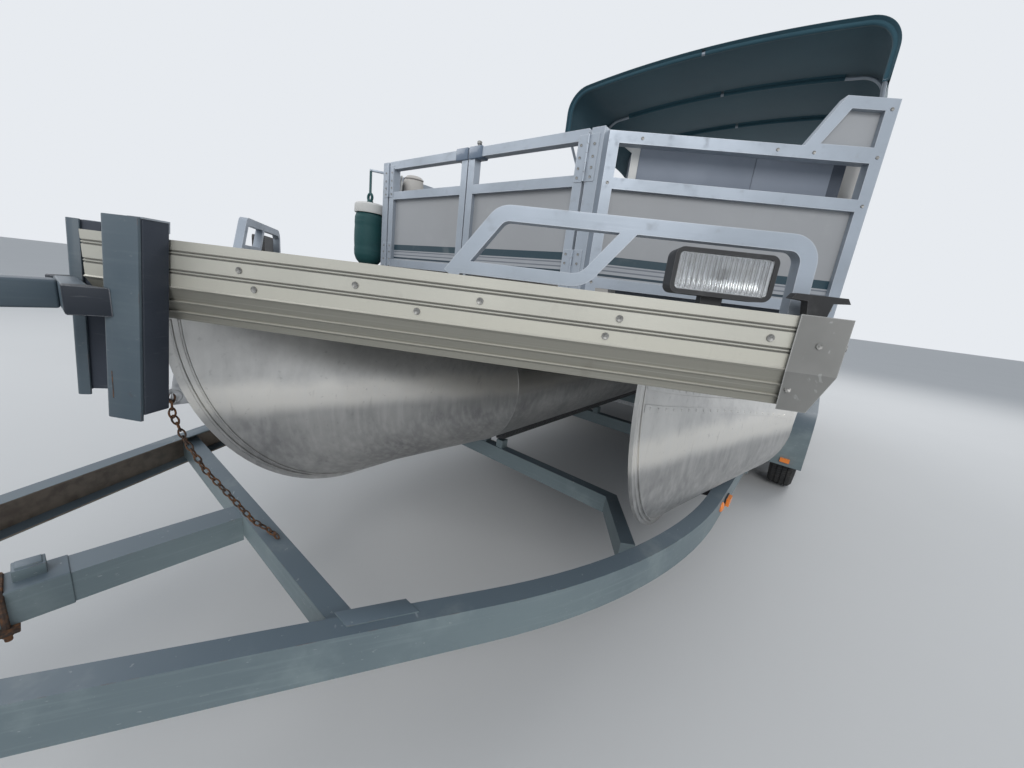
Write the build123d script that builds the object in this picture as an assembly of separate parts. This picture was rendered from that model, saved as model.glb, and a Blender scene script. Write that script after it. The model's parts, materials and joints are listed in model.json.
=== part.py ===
from build123d import *
from math import atan2, cos, degrees, radians, sin, sqrt, tan
import os

# A three-tube pontoon boat standing on its tandem-axle trailer.
# Millimetres. +X is port, +Y is aft, +Z is up. Lengths along the boat are given from the
# tip of the V-shaped bow deck; heights above the deck are given from the deck edge.
# Everything is moved along Y when it is written, so that the row's origin is the middle
# of the whole thing, on the ground.

# Overall places
COUPLER_TIP = -1330.0        # front of the trailer coupler, aft of the bow tip
MOTOR_END = 7671.0           # rear of the propeller hub
SHIFT_Y = -(COUPLER_TIP + MOTOR_END) / 2
DECK_Z = 1300.0              # top of the deck edge above the ground
HALF_BEAM = 1220.0           # outer face of the deck edge
BOW_ANGLE = 32.0             # each bow edge swept back from straight across
DECK_END = 6700.0            # aft edge of the deck
BOW_RISE = tan(radians(BOW_ANGLE))
CORNER_Y = HALF_BEAM * BOW_RISE
MIRRORED = (1, -1)           # port, starboard

# Deck and edges
DECK_THICK = 20.0
FLANGE = 3.0                 # the edge extrusion laps over the deck
FASCIA_DEPTH = 158.0
FASCIA_KINK = 88.0           # upright above this depth, raked inwards below it
FASCIA_RAKE = 26.0
FASCIA_WALL = 6.0
TRIM_DEPTH = 94.0
BEAM_DEPTH = 72.0
BEAM_PITCH = 400.0

# Tubes
TUBE_R = 280.0
TUBE_X = 900.0
KEEL_DEPTH = 712.5           # deck edge down to the bottom of the tubes
TUBE_Z = DECK_Z - KEEL_DEPTH + TUBE_R
STEM_Y = 112.0               # foremost point of the middle tube
STEM_RUN = 470.0             # the stem is a quarter ellipse this long
NOSE_LENGTH = 1040.0
SIDE_TUBE_LAG = 660.0        # the outer tubes start this much further aft
TUBE_END = 6620.0
KEEL_PROUD, KEEL_SUNK = 7.0, 12.0
KEEL_T = 10.0

# Fence
RAIL = 32.0
FENCE_TOP = 477.0
FENCE_MID = 351.0
FENCE_FOOT = 25.0
SIDE_TOP = 606.0
GATE_Y = 1030.0              # front face of the bow gate
GATE_HALF = 510.0
SIDE_FENCE_X = 1184.0
FENCE_END = 6250.0
PANEL = 4.0
GATE_LIFT = 8.0              # gates clear the deck

# Trailer
RAIL_H = 100.0
RAIL_W = 50.0
RAIL_WALL = 5.0
RAIL_TOP = DECK_Z - 700.0
RAIL_BASE = RAIL_TOP - RAIL_H
RAIL_APEX = (20.0, -760.0)   # where the rail's middle line starts, beside the tongue
RAIL_KNEE_Y = 973.0          # where the two straight stretches of that line would meet
RAIL_BEND = 2000.0
TRAILER_HALF = 1040.0
TRAILER_END = 6250.0
MEMBER_H = 75.0
MEMBER_W = 50.0
TONGUE_W = 75.0
TYRE_R = 305.0
TYRE_W = 175.0
WHEEL_X = 1185.0
AXLE_Y = (3700.0, 4500.0)
SPINDLE_R = 15.0

os.makedirs("parts", exist_ok=True)


def save(name, shape):
    """Writes one node, moved to the row's frame."""
    solids = shape.solids() if hasattr(shape, "solids") else [s for x in shape for s in x.solids()]
    moved = [Pos(0, SHIFT_Y, 0) * s for s in solids]
    whole = moved[0] if len(moved) == 1 else Compound(moved)
    export_step(whole, f"parts/{name}.step")


def box(x0, x1, y0, y1, z0, z1):
    """A block from its lowest and highest corner."""
    low, high = (min(x0, x1), min(y0, y1), min(z0, z1)), (max(x0, x1), max(y0, y1), max(z0, z1))
    size = [h - l for l, h in zip(low, high)]
    return Pos(*[(l + h) / 2 for l, h in zip(low, high)]) * Box(*size)


def prism(plane, points, depth):
    """A closed outline in a plane, pushed out along the plane's normal."""
    return extrude(plane * make_face(Polyline(*points, close=True)), depth)


def side_on(x):
    """A plane facing port at x: local x is aft, local y is up."""
    return Plane(origin=(x, 0, 0), x_dir=(0, 1, 0), z_dir=(1, 0, 0))


def mirrored(shape):
    """The starboard twin of a port piece."""
    return mirror(shape, about=Plane.YZ)


def both(shape):
    """A port piece and its starboard twin, as a list."""
    return [shape, mirrored(shape)]


def along_bow(offset=0.0):
    """Local frame of the port bow edge: x runs aft and outboard from the tip, y points up,
    and the normal points forward and outboard."""
    u = (cos(radians(BOW_ANGLE)), sin(radians(BOW_ANGLE)), 0)
    n = (u[1], -u[0], 0)
    return Plane(origin=(n[0] * offset, n[1] * offset, DECK_Z), x_dir=u, z_dir=n)


def join(pieces):
    whole = pieces[0]
    for piece in pieces[1:]:
        whole = whole + piece
    return whole


# Deck edge: the bow extrusion's section, as outward distance and height from the top edge.
def fascia_section():
    outer = [
        (0, 0), (0, -18), (-2.5, -20), (0, -22), (0, -24), (-2.5, -26), (0, -28),
        (0, -54), (-2.5, -56), (0, -58), (0, -60), (-2.5, -62), (0, -64),
        (0, -FASCIA_KINK), (3, -FASCIA_KINK - 3), (-1, -FASCIA_KINK - 8),
        (-10, -116), (-7, -119), (-12, -123), (-20, -138), (-17, -141), (-22, -145),
        (-FASCIA_RAKE, -FASCIA_DEPTH),
    ]
    inner = [
        (-FASCIA_RAKE - 16, -FASCIA_DEPTH), (-FASCIA_RAKE - 16, -FASCIA_DEPTH + 4),
        (-FASCIA_RAKE - FASCIA_WALL, -FASCIA_DEPTH + 4), (-FASCIA_WALL - 4, -FASCIA_KINK - 4),
        (-FASCIA_WALL, -FASCIA_KINK), (-FASCIA_WALL, -FLANGE), (-42, -FLANGE), (-42, 0),
    ]
    return outer + inner


def edge_run(section, heading, start, length):
    """A section swept straight from start along heading (degrees from +X, seen from above),
    with its outer side to the right of the run."""
    u = (cos(radians(heading)), sin(radians(heading)), 0)
    n = (u[1], -u[0], 0)
    plane = Plane(origin=(start[0], start[1], DECK_Z), x_dir=n, z_dir=(-u[0], -u[1], 0))
    face = plane * make_face(Polyline(*section, close=True))
    return extrude(face, -length)


CAP_START_X = 1156.0
run_length = HALF_BEAM / cos(radians(BOW_ANGLE))
bow_run = edge_run(fascia_section(), BOW_ANGLE, (0, 0), run_length + 60)
bow_run = bow_run & box(0.5, CAP_START_X + 20, -100, 2000, 0, 2000)
save("bow_fascia", both(bow_run))

cap_section = [(6, 3), (6, -93), (-20.5, -166), (-23.2, -166), (3.2, -92), (3.2, 0.2), (-42, 0.2), (-42, 3)]
cap_bow = edge_run(cap_section, BOW_ANGLE, (0, 0), run_length + 40)
cap_side = edge_run(cap_section, 90, (HALF_BEAM, CORNER_Y - 100), 240)
half_way = radians((90 + BOW_ANGLE) / 2)
mitre = Plane(origin=(HALF_BEAM, CORNER_Y, 0), z_dir=(cos(half_way), sin(half_way), 0))
cap_bow = split(cap_bow & box(CAP_START_X, 1400, 0, 1400, 0, 2000), bisect_by=mitre, keep=Keep.BOTTOM)
cap_side = split(cap_side, bisect_by=mitre, keep=Keep.TOP)
side_trim_section = [
    (0, 0), (0, -TRIM_DEPTH), (-14, -TRIM_DEPTH), (-14, -TRIM_DEPTH + 4),
    (-4, -TRIM_DEPTH + 4), (-4, -FLANGE), (-18, -FLANGE), (-18, 0),
]
trim_start = CORNER_Y + 141
side_trim = edge_run(side_trim_section, 90, (HALF_BEAM, trim_start), DECK_END - trim_start - 31)
stern_trim = edge_run(side_trim_section, 180, (HALF_BEAM, DECK_END), 2 * HALF_BEAM)
save("deck_trim", both(cap_bow + cap_side) + both(side_trim) + [stern_trim])

# Deck sheet and the cross beams under it
deck_top = DECK_Z - FLANGE
INSET = 8.0
deck_half = HALF_BEAM - INSET
deck_outline = [(0, INSET / cos(radians(BOW_ANGLE)))]
deck_outline += [(deck_half, CORNER_Y + INSET * 0.6), (deck_half, DECK_END - 6)]
deck_outline += [(-deck_half, DECK_END - 6), (-deck_half, CORNER_Y + INSET * 0.6)]
save("deck", prism(Plane.XY.offset(deck_top - DECK_THICK), deck_outline, DECK_THICK))

beam_top = deck_top - DECK_THICK
beam_bottom = beam_top - BEAM_DEPTH
BEAM_W, BEAM_WALL = 50.0, 5.0
BEAM_SECTION = [
    (0, 0), (BEAM_W, 0), (BEAM_W, BEAM_WALL), (BEAM_WALL, BEAM_WALL), (BEAM_WALL, BEAM_DEPTH - BEAM_WALL),
    (BEAM_W, BEAM_DEPTH - BEAM_WALL), (BEAM_W, BEAM_DEPTH), (0, BEAM_DEPTH),
]
FIRST_BEAM_Y = 420.0
beams = []
beam_count = int((DECK_END - 500) / BEAM_PITCH)
for i in range(beam_count + 1):
    y = FIRST_BEAM_Y + i * BEAM_PITCH
    half = min(HALF_BEAM - 50, (y - 60) / BOW_RISE)
    plane = Plane(origin=(-half, y, beam_bottom), x_dir=(0, 1, 0), z_dir=(1, 0, 0))
    beams.append(prism(plane, BEAM_SECTION, 2 * half))
save("cross_beams", beams)


# Tubes: a round barrel with a nose whose two sides meet in a sharp stem
def stem_frame(x, lag):
    """A lengthwise plane with its origin above the stem's foot: local x runs forward, y up."""
    return Plane(origin=(x, STEM_Y + STEM_RUN + lag, TUBE_Z + TUBE_R), x_dir=(0, -1, 0), z_dir=(-1, 0, 0))


def keel_bead(x, lag):
    """A welded bead that follows the stem and the tube's bottom."""
    run, drop = STEM_RUN, 2 * TUBE_R
    tail = -(TUBE_END - 150 - STEM_Y - STEM_RUN - lag)
    outer = EllipticalCenterArc((0, 0), run + KEEL_PROUD, drop + KEEL_PROUD, start_angle=270, arc_size=90)
    inner = EllipticalCenterArc((0, 0), run - KEEL_SUNK, drop - KEEL_SUNK, start_angle=270, arc_size=90)
    edges = Curve() + [
        outer,
        Line((run + KEEL_PROUD, 0), (run - KEEL_SUNK, 0)),
        inner,
        Line((0, -drop + KEEL_SUNK), (tail, -drop + KEEL_SUNK)),
        Line((tail, -drop + KEEL_SUNK), (tail, -drop - KEEL_PROUD)),
        Line((tail, -drop - KEEL_PROUD), (0, -drop - KEEL_PROUD)),
    ]
    return extrude(stem_frame(x - KEEL_T / 2, lag) * make_face(edges), -KEEL_T)


def pontoon(x, lag):
    nose_base = STEM_Y + NOSE_LENGTH + lag
    stem_top = TUBE_Z + TUBE_R
    top, low = Vector(x, nose_base, stem_top), Vector(x, nose_base, TUBE_Z - TUBE_R)
    stem_plane = stem_frame(x, lag)
    stem = stem_plane * EllipticalCenterArc((0, 0), STEM_RUN, 2 * TUBE_R, start_angle=270, arc_size=90)
    faces = []
    for side in MIRRORED:
        rib = ThreePointArc(low, Vector(x + side * TUBE_R, nose_base, TUBE_Z), top)
        faces.append(Face.make_surface_from_curves(stem.edges()[0], rib.edges()[0]))
    ring = Wire([ThreePointArc(low, Vector(x + TUBE_R, nose_base, TUBE_Z), top).edges()[0],
                 ThreePointArc(top, Vector(x - TUBE_R, nose_base, TUBE_Z), low).edges()[0]])
    faces.append(Face(ring))
    nose = Solid(Shell(faces))
    if nose.volume < 0:
        nose = Solid(Shell([-f for f in faces]))
    barrel_length = TUBE_END - nose_base
    barrel = Plane(origin=(x, nose_base, TUBE_Z), x_dir=(1, 0, 0), z_dir=(0, 1, 0)) * Cylinder(
        TUBE_R, barrel_length, align=(Align.CENTER, Align.CENTER, Align.MIN))
    # riser: an inverted channel with splayed feet between the tube and the beams
    foot, crown = 95.0, 70.0
    foot_z = TUBE_Z + sqrt(TUBE_R**2 - foot**2) - 6
    riser_section = [
        (-foot, foot_z), (-crown, beam_bottom), (crown, beam_bottom), (foot, foot_z),
        (foot - 8, foot_z), (crown - 6, beam_bottom - 5), (6 - crown, beam_bottom - 5), (8 - foot, foot_z),
    ]
    riser_start = STEM_Y + lag + 560
    plane = Plane(origin=(x, riser_start, 0), x_dir=(1, 0, 0), z_dir=(0, -1, 0))
    riser = prism(plane, riser_section, -(TUBE_END - 60 - riser_start))
    return join([nose, barrel, keel_bead(x, lag), riser])


save("pontoon_port", pontoon(TUBE_X, SIDE_TUBE_LAG))
save("pontoon_centre", pontoon(0, 0))
save("pontoon_starboard", pontoon(-TUBE_X, SIDE_TUBE_LAG))


# Fence sections, each drawn flat: x along the section, y up from the deck edge
def frame_face(length, top, mid, extra_posts=()):
    outline = Pos(length / 2, top / 2) * Rectangle(length, top)
    holes = []
    posts = [0.0, *extra_posts, length - RAIL]
    rails = [(FENCE_FOOT, FENCE_FOOT + RAIL), (mid - RAIL, mid), (top - RAIL, top)]
    for left, right in zip(posts, posts[1:]):
        x0, x1 = left + RAIL, right
        spans = [(0, FENCE_FOOT), (FENCE_FOOT + RAIL, mid - RAIL), (mid, top - RAIL)]
        for z0, z1 in spans:
            holes.append(Pos((x0 + x1) / 2, (z0 + z1) / 2) * Rectangle(x1 - x0, z1 - z0))
    for hole in holes:
        outline = outline - hole
    return outline


def panel_faces(length, mid, extra_posts=()):
    posts = [0.0, *extra_posts, length - RAIL]
    faces = []
    for left, right in zip(posts, posts[1:]):
        x0, x1 = left + RAIL, right
        z0, z1 = FENCE_FOOT + RAIL, mid - RAIL
        faces.append(Pos((x0 + x1) / 2, (z0 + z1) / 2) * Rectangle(x1 - x0, z1 - z0))
    return faces


def fence_plane(start, heading):
    """Front face of a fence section: the frame lies behind it."""
    u = (cos(radians(heading)), sin(radians(heading)), 0)
    n = (u[1], -u[0], 0)
    return Plane(origin=(start[0], start[1], deck_top), x_dir=u, z_dir=n)


# Gate hinges: two leaves of thin plate, with knuckles in turn on the pivot line
HINGE_X = GATE_HALF + 3
HINGE_SPANS = ((12.0, 132.0), (330.0, 460.0))
HINGE_LEAF, HINGE_T = 34.0, 2.0
KNUCKLES, KNUCKLE_R = 5, 4.0


def hinge_leaves(x, face_y, side, spans):
    """The leaves on one side of the pivot line at x, in front of a face, each with every second
    knuckle. The port side has three knuckles, the starboard side two."""
    leaves = []
    for low, high in spans:
        pitch = (high - low) / KNUCKLES
        leaf = box(x, x + side * HINGE_LEAF, face_y - HINGE_T, face_y, deck_top + low, deck_top + high)
        for k in range(KNUCKLES):
            place = Pos(x, face_y - KNUCKLE_R, deck_top + low + (k + 0.5) * pitch)
            if (k % 2 == 0) == (side > 0):
                leaf = leaf + place * Cylinder(KNUCKLE_R, pitch - 1)
            else:
                leaf = leaf - place * Cylinder(KNUCKLE_R + 1, pitch + 1)
        leaves.append(leaf)
    return leaves


BOW_SECTION = (SIDE_FENCE_X + RAIL / 2 - GATE_HALF - 50) / cos(radians(BOW_ANGLE))
bow_start = (GATE_HALF + 50, GATE_Y + 50 * BOW_RISE)
bow_plane = fence_plane(bow_start, BOW_ANGLE)
bow_frame = extrude(bow_plane * frame_face(BOW_SECTION, FENCE_TOP, FENCE_MID), -RAIL)
# raised wing at the outer end of the bow section
WING = [(-212, FENCE_TOP), (-136, SIDE_TOP), (0, SIDE_TOP), (0, FENCE_TOP)]
WING_HOLE = [(-172, FENCE_TOP + 8), (-116, SIDE_TOP - 30), (-RAIL, SIDE_TOP - 30), (-RAIL, FENCE_TOP + 8)]
WING, WING_HOLE = [[(BOW_SECTION + x, z) for x, z in outline] for outline in (WING, WING_HOLE)]
wing = extrude(bow_plane * make_face(Polyline(*WING, close=True)), -RAIL)
wing_hole = extrude(bow_plane * make_face(Polyline(*WING_HOLE, close=True)), -RAIL)
bow_frame = bow_frame + (wing - wing_hole)
wing_panel = extrude(bow_plane.offset(-RAIL / 2) * make_face(Polyline(*WING_HOLE, close=True)), -PANEL)
bow_panels = [extrude(bow_plane.offset(-RAIL / 2) * f, -PANEL) for f in panel_faces(BOW_SECTION, FENCE_MID)]
hinge_post = box(GATE_HALF + 8, GATE_HALF + 50, GATE_Y, GATE_Y + RAIL, deck_top, deck_top + FENCE_TOP)
bow_frame = join([bow_frame, hinge_post, *hinge_leaves(HINGE_X, GATE_Y, 1, HINGE_SPANS)])
save("fence_bow_port", bow_frame)
save("fence_bow_starboard", mirrored(bow_frame))

side_start_y = bow_start[1] + BOW_SECTION * sin(radians(BOW_ANGLE)) + RAIL + 2
side_length = FENCE_END - side_start_y
side_plane = fence_plane((SIDE_FENCE_X + RAIL / 2, side_start_y), 90)
side_posts = [side_length * k / 6 for k in (1, 2, 3, 4, 5)]
side_frame = extrude(side_plane * frame_face(side_length, SIDE_TOP, FENCE_MID, side_posts), -RAIL)
panel_plane = side_plane.offset(-RAIL / 2)
side_panels = [extrude(panel_plane * f, -PANEL) for f in panel_faces(side_length, FENCE_MID, side_posts)]
save("fence_side_port", side_frame)
save("fence_side_starboard", mirrored(side_frame))

# Stern fence: a wide section to starboard, a narrow one to port, and a gate between
STERN_GATE_X = (300.0, 860.0)
inner_x = SIDE_FENCE_X - RAIL / 2 - 1


def stern_section(x0, x1, posts=()):
    plane = fence_plane((x0, FENCE_END - RAIL), 0)
    frame = extrude(plane * frame_face(x1 - x0, SIDE_TOP, FENCE_MID, posts), -RAIL)
    panels = [extrude(plane.offset(-RAIL / 2) * f, -PANEL) for f in panel_faces(x1 - x0, FENCE_MID, posts)]
    return frame, panels


stern_wide, stern_wide_panels = stern_section(-inner_x, STERN_GATE_X[0] - 4, (inner_x / 2 + 130,))
stern_narrow, stern_narrow_panels = stern_section(STERN_GATE_X[1] + 10, inner_x)
STERN_HINGE_X = STERN_GATE_X[1] + 5
STERN_SPANS = ((40.0, 160.0), (430.0, 560.0))
post_leaves, gate_leaves = [hinge_leaves(STERN_HINGE_X, FENCE_END - RAIL, side, STERN_SPANS) for side in MIRRORED]
save("fence_stern", [stern_wide, join([stern_narrow, *post_leaves])])
gate_frame, gate_panels = stern_section(STERN_GATE_X[0] + 4, STERN_GATE_X[1])
gate_frame = gate_frame - box(*STERN_GATE_X, FENCE_END - 50, FENCE_END + 10, deck_top - 1, deck_top + GATE_LIFT)
save("stern_gate", join([gate_frame, gate_panels[0], *gate_leaves]))
save("fence_panels", both(bow_panels[0]) + both(wing_panel) + [p for s in side_panels for p in both(s)]
     + stern_wide_panels + stern_narrow_panels)

# Bow gate: two leaves, hinged on their front faces
leaf_width = GATE_HALF - 5
leaf_plane = fence_plane((3, GATE_Y), 0)
leaf_frame = extrude(leaf_plane * frame_face(leaf_width, FENCE_TOP, FENCE_MID), -RAIL)
leaf_frame = leaf_frame - box(0, GATE_HALF, GATE_Y - 1, GATE_Y + 40, deck_top - 1, deck_top + GATE_LIFT)
leaf_frame = join([leaf_frame, *hinge_leaves(HINGE_X, GATE_Y, -1, HINGE_SPANS)])
leaf_panel = [extrude(leaf_plane.offset(-RAIL / 2) * f, -PANEL) for f in panel_faces(leaf_width, FENCE_MID)][0]
for name, side in (("port", 1), ("starboard", -1)):
    turn = (lambda s: s) if side > 0 else mirrored
    save(f"gate_{name}_frame", turn(leaf_frame))
    save(f"gate_{name}_panel", turn(leaf_panel))

# Grab loops on the bow deck edge: drawn flat along the bow edge, from their centre lines
LOOP_TUBE = 28.0
loop_plane = along_bow(-48)
FOOT_U, TOP_U, OUT_U, LOOP_TOP = 748.0, 846.0, 1376.0, 120.0
loop_path = [(FOOT_U, 0), (TOP_U - 8, LOOP_TOP), (OUT_U, LOOP_TOP), (OUT_U + 4, 0)]
strut_path = [(FOOT_U + 20, 16), (1000, 16), (1080, LOOP_TOP)]
main_bar = trace(FilletPolyline(*loop_path, radius=34).edges(), LOOP_TUBE)
strut_bar = trace(FilletPolyline(*strut_path, radius=46).edges(), LOOP_TUBE - 4)
loop_bar = extrude(loop_plane * main_bar, -LOOP_TUBE) + extrude(loop_plane * strut_bar, -LOOP_TUBE)
loop_bar = loop_bar & box(-2000, 2000, -2000, 3000, DECK_Z, DECK_Z + 400)
save("grab_loops", both(loop_bar))

# Docking lights: a shallow box with a rounded back on a short stem
LIGHT_U, LIGHT_Z = 1230.0, 52.0
LIGHT_W, LIGHT_H, LIGHT_D = 166.0, 76.0, 52.0
light_plane = along_bow(-8)
glass_face = Pos(LIGHT_U, LIGHT_Z) * RectangleRounded(LIGHT_W - 14, LIGHT_H - 14, 9)
shell = extrude(light_plane * (Pos(LIGHT_U, LIGHT_Z) * RectangleRounded(LIGHT_W, LIGHT_H, 14)), -LIGHT_D)
shell = shell - extrude(light_plane * glass_face, -14)
stem = extrude(light_plane.offset(-16) * (Pos(LIGHT_U - 5, 8) * Rectangle(36, 16)), -24)
save("docking_lights", both(shell + stem))
save("docking_lenses", both(extrude(light_plane.offset(-2) * glass_face, -12)))

# Cleats: a low base with two horns
CLEAT_U = 1385.0
CLEAT = [(-46, 24), (-40, 33), (40, 33), (46, 24), (20, 22), (16, 0), (-16, 0), (-20, 22)]
bow_cleat = extrude(along_bow(-8) * Pos(CLEAT_U + 6, 3) * make_face(Polyline(*CLEAT, close=True)), -20)
stern_cleat_plane = Plane(origin=(HALF_BEAM - 12, 6450, DECK_Z), x_dir=(0, 1, 0), z_dir=(1, 0, 0))
stern_cleat = extrude(stern_cleat_plane * make_face(Polyline(*CLEAT, close=True)), -20)
save("cleats", both(bow_cleat) + both(stern_cleat))

# Seats, helm and chair
SEAT_H = 360.0
CUSHION = 90.0
couch_in, couch_out = 620.0, SIDE_FENCE_X - RAIL / 2 - 6
floor_z = deck_top
COUCH_END = 2950.0
couch_line = GATE_Y + 72


def couch_front(x):
    """Where a couch starts: its front runs along the bow fence."""
    return couch_line + (x - GATE_HALF) * BOW_RISE


def couch_outline(inset):
    x_in, x_out = couch_in + inset, couch_out - inset
    y_end = COUCH_END - inset
    return [(x_in, couch_front(x_in) + inset), (x_out, couch_front(x_out) + inset), (x_out, y_end), (x_in, y_end)]


BASE_H = SEAT_H - CUSHION
LOUNGE_X = (-SIDE_FENCE_X + 22, 230.0)
LOUNGE_Y = (5560.0, FENCE_END - RAIL - 6)
SIDE_SEAT_Y = (3900.0, 5350.0)
CORNER_R = 24.0
TOE_IN, TOE_H = 40.0, 58.0   # recess for the feet along each seat's open side
couch_base = prism(Plane.XY.offset(floor_z), couch_outline(0), BASE_H)
lounge_base = box(*LOUNGE_X, *LOUNGE_Y, floor_z, floor_z + BASE_H)
side_base = box(couch_in, couch_out, *SIDE_SEAT_Y, floor_z, floor_z + BASE_H)
bases = [fillet(base.edges().filter_by(Axis.Z), CORNER_R) for base in (couch_base, lounge_base, side_base)]
aisle_toe = box(couch_in - 1, couch_in + TOE_IN, GATE_Y, FENCE_END, floor_z, floor_z + TOE_H)
stern_toe = box(*LOUNGE_X, LOUNGE_Y[0] - 1, LOUNGE_Y[0] + TOE_IN, floor_z, floor_z + TOE_H)
couch_base, lounge_base, side_base = bases[0] - aisle_toe, bases[1] - stern_toe, bases[2] - aisle_toe
standing = (Align.CENTER, Align.CENTER, Align.MIN)
pedestal = Pos(-700, 4700, floor_z) * (Cylinder(140, 12, align=standing) + Cylinder(36, 300, align=standing))
save("seat_bases", both(couch_base) + [lounge_base, side_base, pedestal])

BACK_TOP = 500.0             # the couches' short backs along the bow fence
COUCH_BACK_TOP, LOUNGE_BACK_TOP = 560.0, 600.0
PAD_GAP = 4.0                # pads stand back from the edges of their bases
back_t = 100.0
seat_z, back_z = floor_z + SEAT_H, floor_z + SEAT_H + 1
couch_pad = prism(Plane.XY.offset(floor_z + BASE_H), couch_outline(PAD_GAP), CUSHION)
back_length, back_height = 600.0, BACK_TOP - SEAT_H
back_plane = along_bow()
back_plane.origin = (couch_in + PAD_GAP, couch_front(couch_in + PAD_GAP) + 6, back_z)
back_face = Pos(back_length / 2, back_height / 2) * Rectangle(back_length, back_height)
angled_back = extrude(back_plane * back_face, -back_t)
angled_back = angled_back & box(couch_in, couch_out - PAD_GAP - back_t - 2, 1000, 2000, 0, 3000)
outer_back = (couch_out - PAD_GAP - back_t, couch_out - PAD_GAP)
side_back = box(*outer_back, 1560, COUCH_END - PAD_GAP, back_z, floor_z + COUCH_BACK_TOP)
lounge_x = (LOUNGE_X[0] + PAD_GAP, LOUNGE_X[1] - PAD_GAP)
lounge_y = (LOUNGE_Y[0] + PAD_GAP, LOUNGE_Y[1] - PAD_GAP)
lounge_pad = box(*lounge_x, *lounge_y, floor_z + BASE_H, seat_z)
lounge_back = box(*lounge_x, lounge_y[1] - back_t, lounge_y[1], back_z, floor_z + LOUNGE_BACK_TOP)
bench_y = (SIDE_SEAT_Y[0] + PAD_GAP, SIDE_SEAT_Y[1] - PAD_GAP)
side_pad = box(couch_in + PAD_GAP, couch_out - PAD_GAP, *bench_y, floor_z + BASE_H, seat_z)
side_pad_back = box(*outer_back, *bench_y, back_z, floor_z + LOUNGE_BACK_TOP)
save("cushions", both(couch_pad) + both(side_back) + both(angled_back)
     + [lounge_pad, lounge_back, side_pad, side_pad_back])

CONSOLE = ((3650, 0), (4100, 0), (4100, 600), (4040, 760), (3860, 820), (3700, 700), (3650, 420))
CONSOLE_X, CONSOLE_W = -1130.0, 600.0
console_side = make_face(Polyline(*[(y, floor_z + z) for y, z in CONSOLE], close=True))
console_side = fillet([v for v in console_side.vertices() if v.Y > floor_z + 10], 36)
console = extrude(side_on(CONSOLE_X) * console_side, CONSOLE_W)
inner_rim = console.faces().sort_by(Axis.X)[-1].edges().filter_by(lambda e: e.center().Z > floor_z + 10)
console = fillet(inner_rim, 18)
WHEEL_CENTRE = (-760.0, 4150.0, floor_z + 740.0)
WHEEL_TILT = radians(30)     # the column leans back from level
wheel_plane = Plane(origin=WHEEL_CENTRE, x_dir=(1, 0, 0), z_dir=(0, cos(WHEEL_TILT), sin(WHEEL_TILT)))
column = wheel_plane * (Pos(0, 0, -42) * Cylinder(22, 120, align=(Align.CENTER, Align.CENTER, Align.MAX)))
save("helm_console", console + column)

# Steering wheel on its raked column
rim_ring = wheel_plane * Torus(165, 12)
spokes = [wheel_plane * (Rot(0, 0, a) * (Pos(82, 0, 0) * Box(150, 26, 6))) for a in (90, 210, 330)]
hub = wheel_plane * (Pos(0, 0, -20) * Cylinder(34, 40))
save("steering_wheel", join([rim_ring, hub, *spokes]))

chair_seat = box(-960, -440, 4480, 4960, floor_z + 301, floor_z + 420)
chair_back = box(-950, -450, 4905, 5005, floor_z + 420, floor_z + 900)
arms = []
for x in (-960, -490):
    arms.append(box(x, x + 50, 4520, 4905, floor_z + 600, floor_z + 640))
    arms.append(box(x, x + 50, 4520, 4570, floor_z + 420, floor_z + 600))
save("captain_chair", join([chair_seat, chair_back, *arms]))

# Sunshade: a crowned sheet over four bows
SHADE_FRONT, SHADE_END = 3260.0, 5430.0
SHADE_HALF = 1126.0
SHADE_CROWN = 1860.0
SHADE_EDGE = 1803.0          # where the crown meets the shoulders
SHADE_HEM = 1440.0
SHADE_SKIN = 8.0
SHOULDER_R = 200.0
CROWN_SLOPE = 7.0            # degrees, at the shoulders


def shade_arch(drop, hem):
    """The sheet's line across the boat, drop mm inside its outer surface, from hem to hem."""
    half, crown, edge, bend = [v - drop for v in (SHADE_HALF, SHADE_CROWN, SHADE_EDGE, SHOULDER_R)]
    turn = radians(90 - CROWN_SLOPE)
    side_top = edge - bend * sin(turn)

    def shoulder(side, share):
        return side * (half - bend * (1 - cos(turn * share))), side_top + bend * sin(turn * share)

    return [
        Line((half, hem), (half, side_top)),
        ThreePointArc(shoulder(1, 0), shoulder(1, 0.5), shoulder(1, 1)),
        ThreePointArc(shoulder(1, 1), (0, crown), shoulder(-1, 1)),
        ThreePointArc(shoulder(-1, 1), shoulder(-1, 0.5), shoulder(-1, 0)),
        Line((-half, side_top), (-half, hem)),
    ]


shade_plane = Plane(origin=(0, SHADE_FRONT, deck_top), x_dir=(1, 0, 0), z_dir=(0, -1, 0))
skin_edges = Curve() + shade_arch(0, SHADE_HEM) + shade_arch(SHADE_SKIN, SHADE_HEM) + [
    Line((side * SHADE_HALF, SHADE_HEM), (side * (SHADE_HALF - SHADE_SKIN), SHADE_HEM)) for side in MIRRORED]
save("sunshade", extrude(shade_plane * make_face(skin_edges), -(SHADE_END - SHADE_FRONT)))

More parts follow.
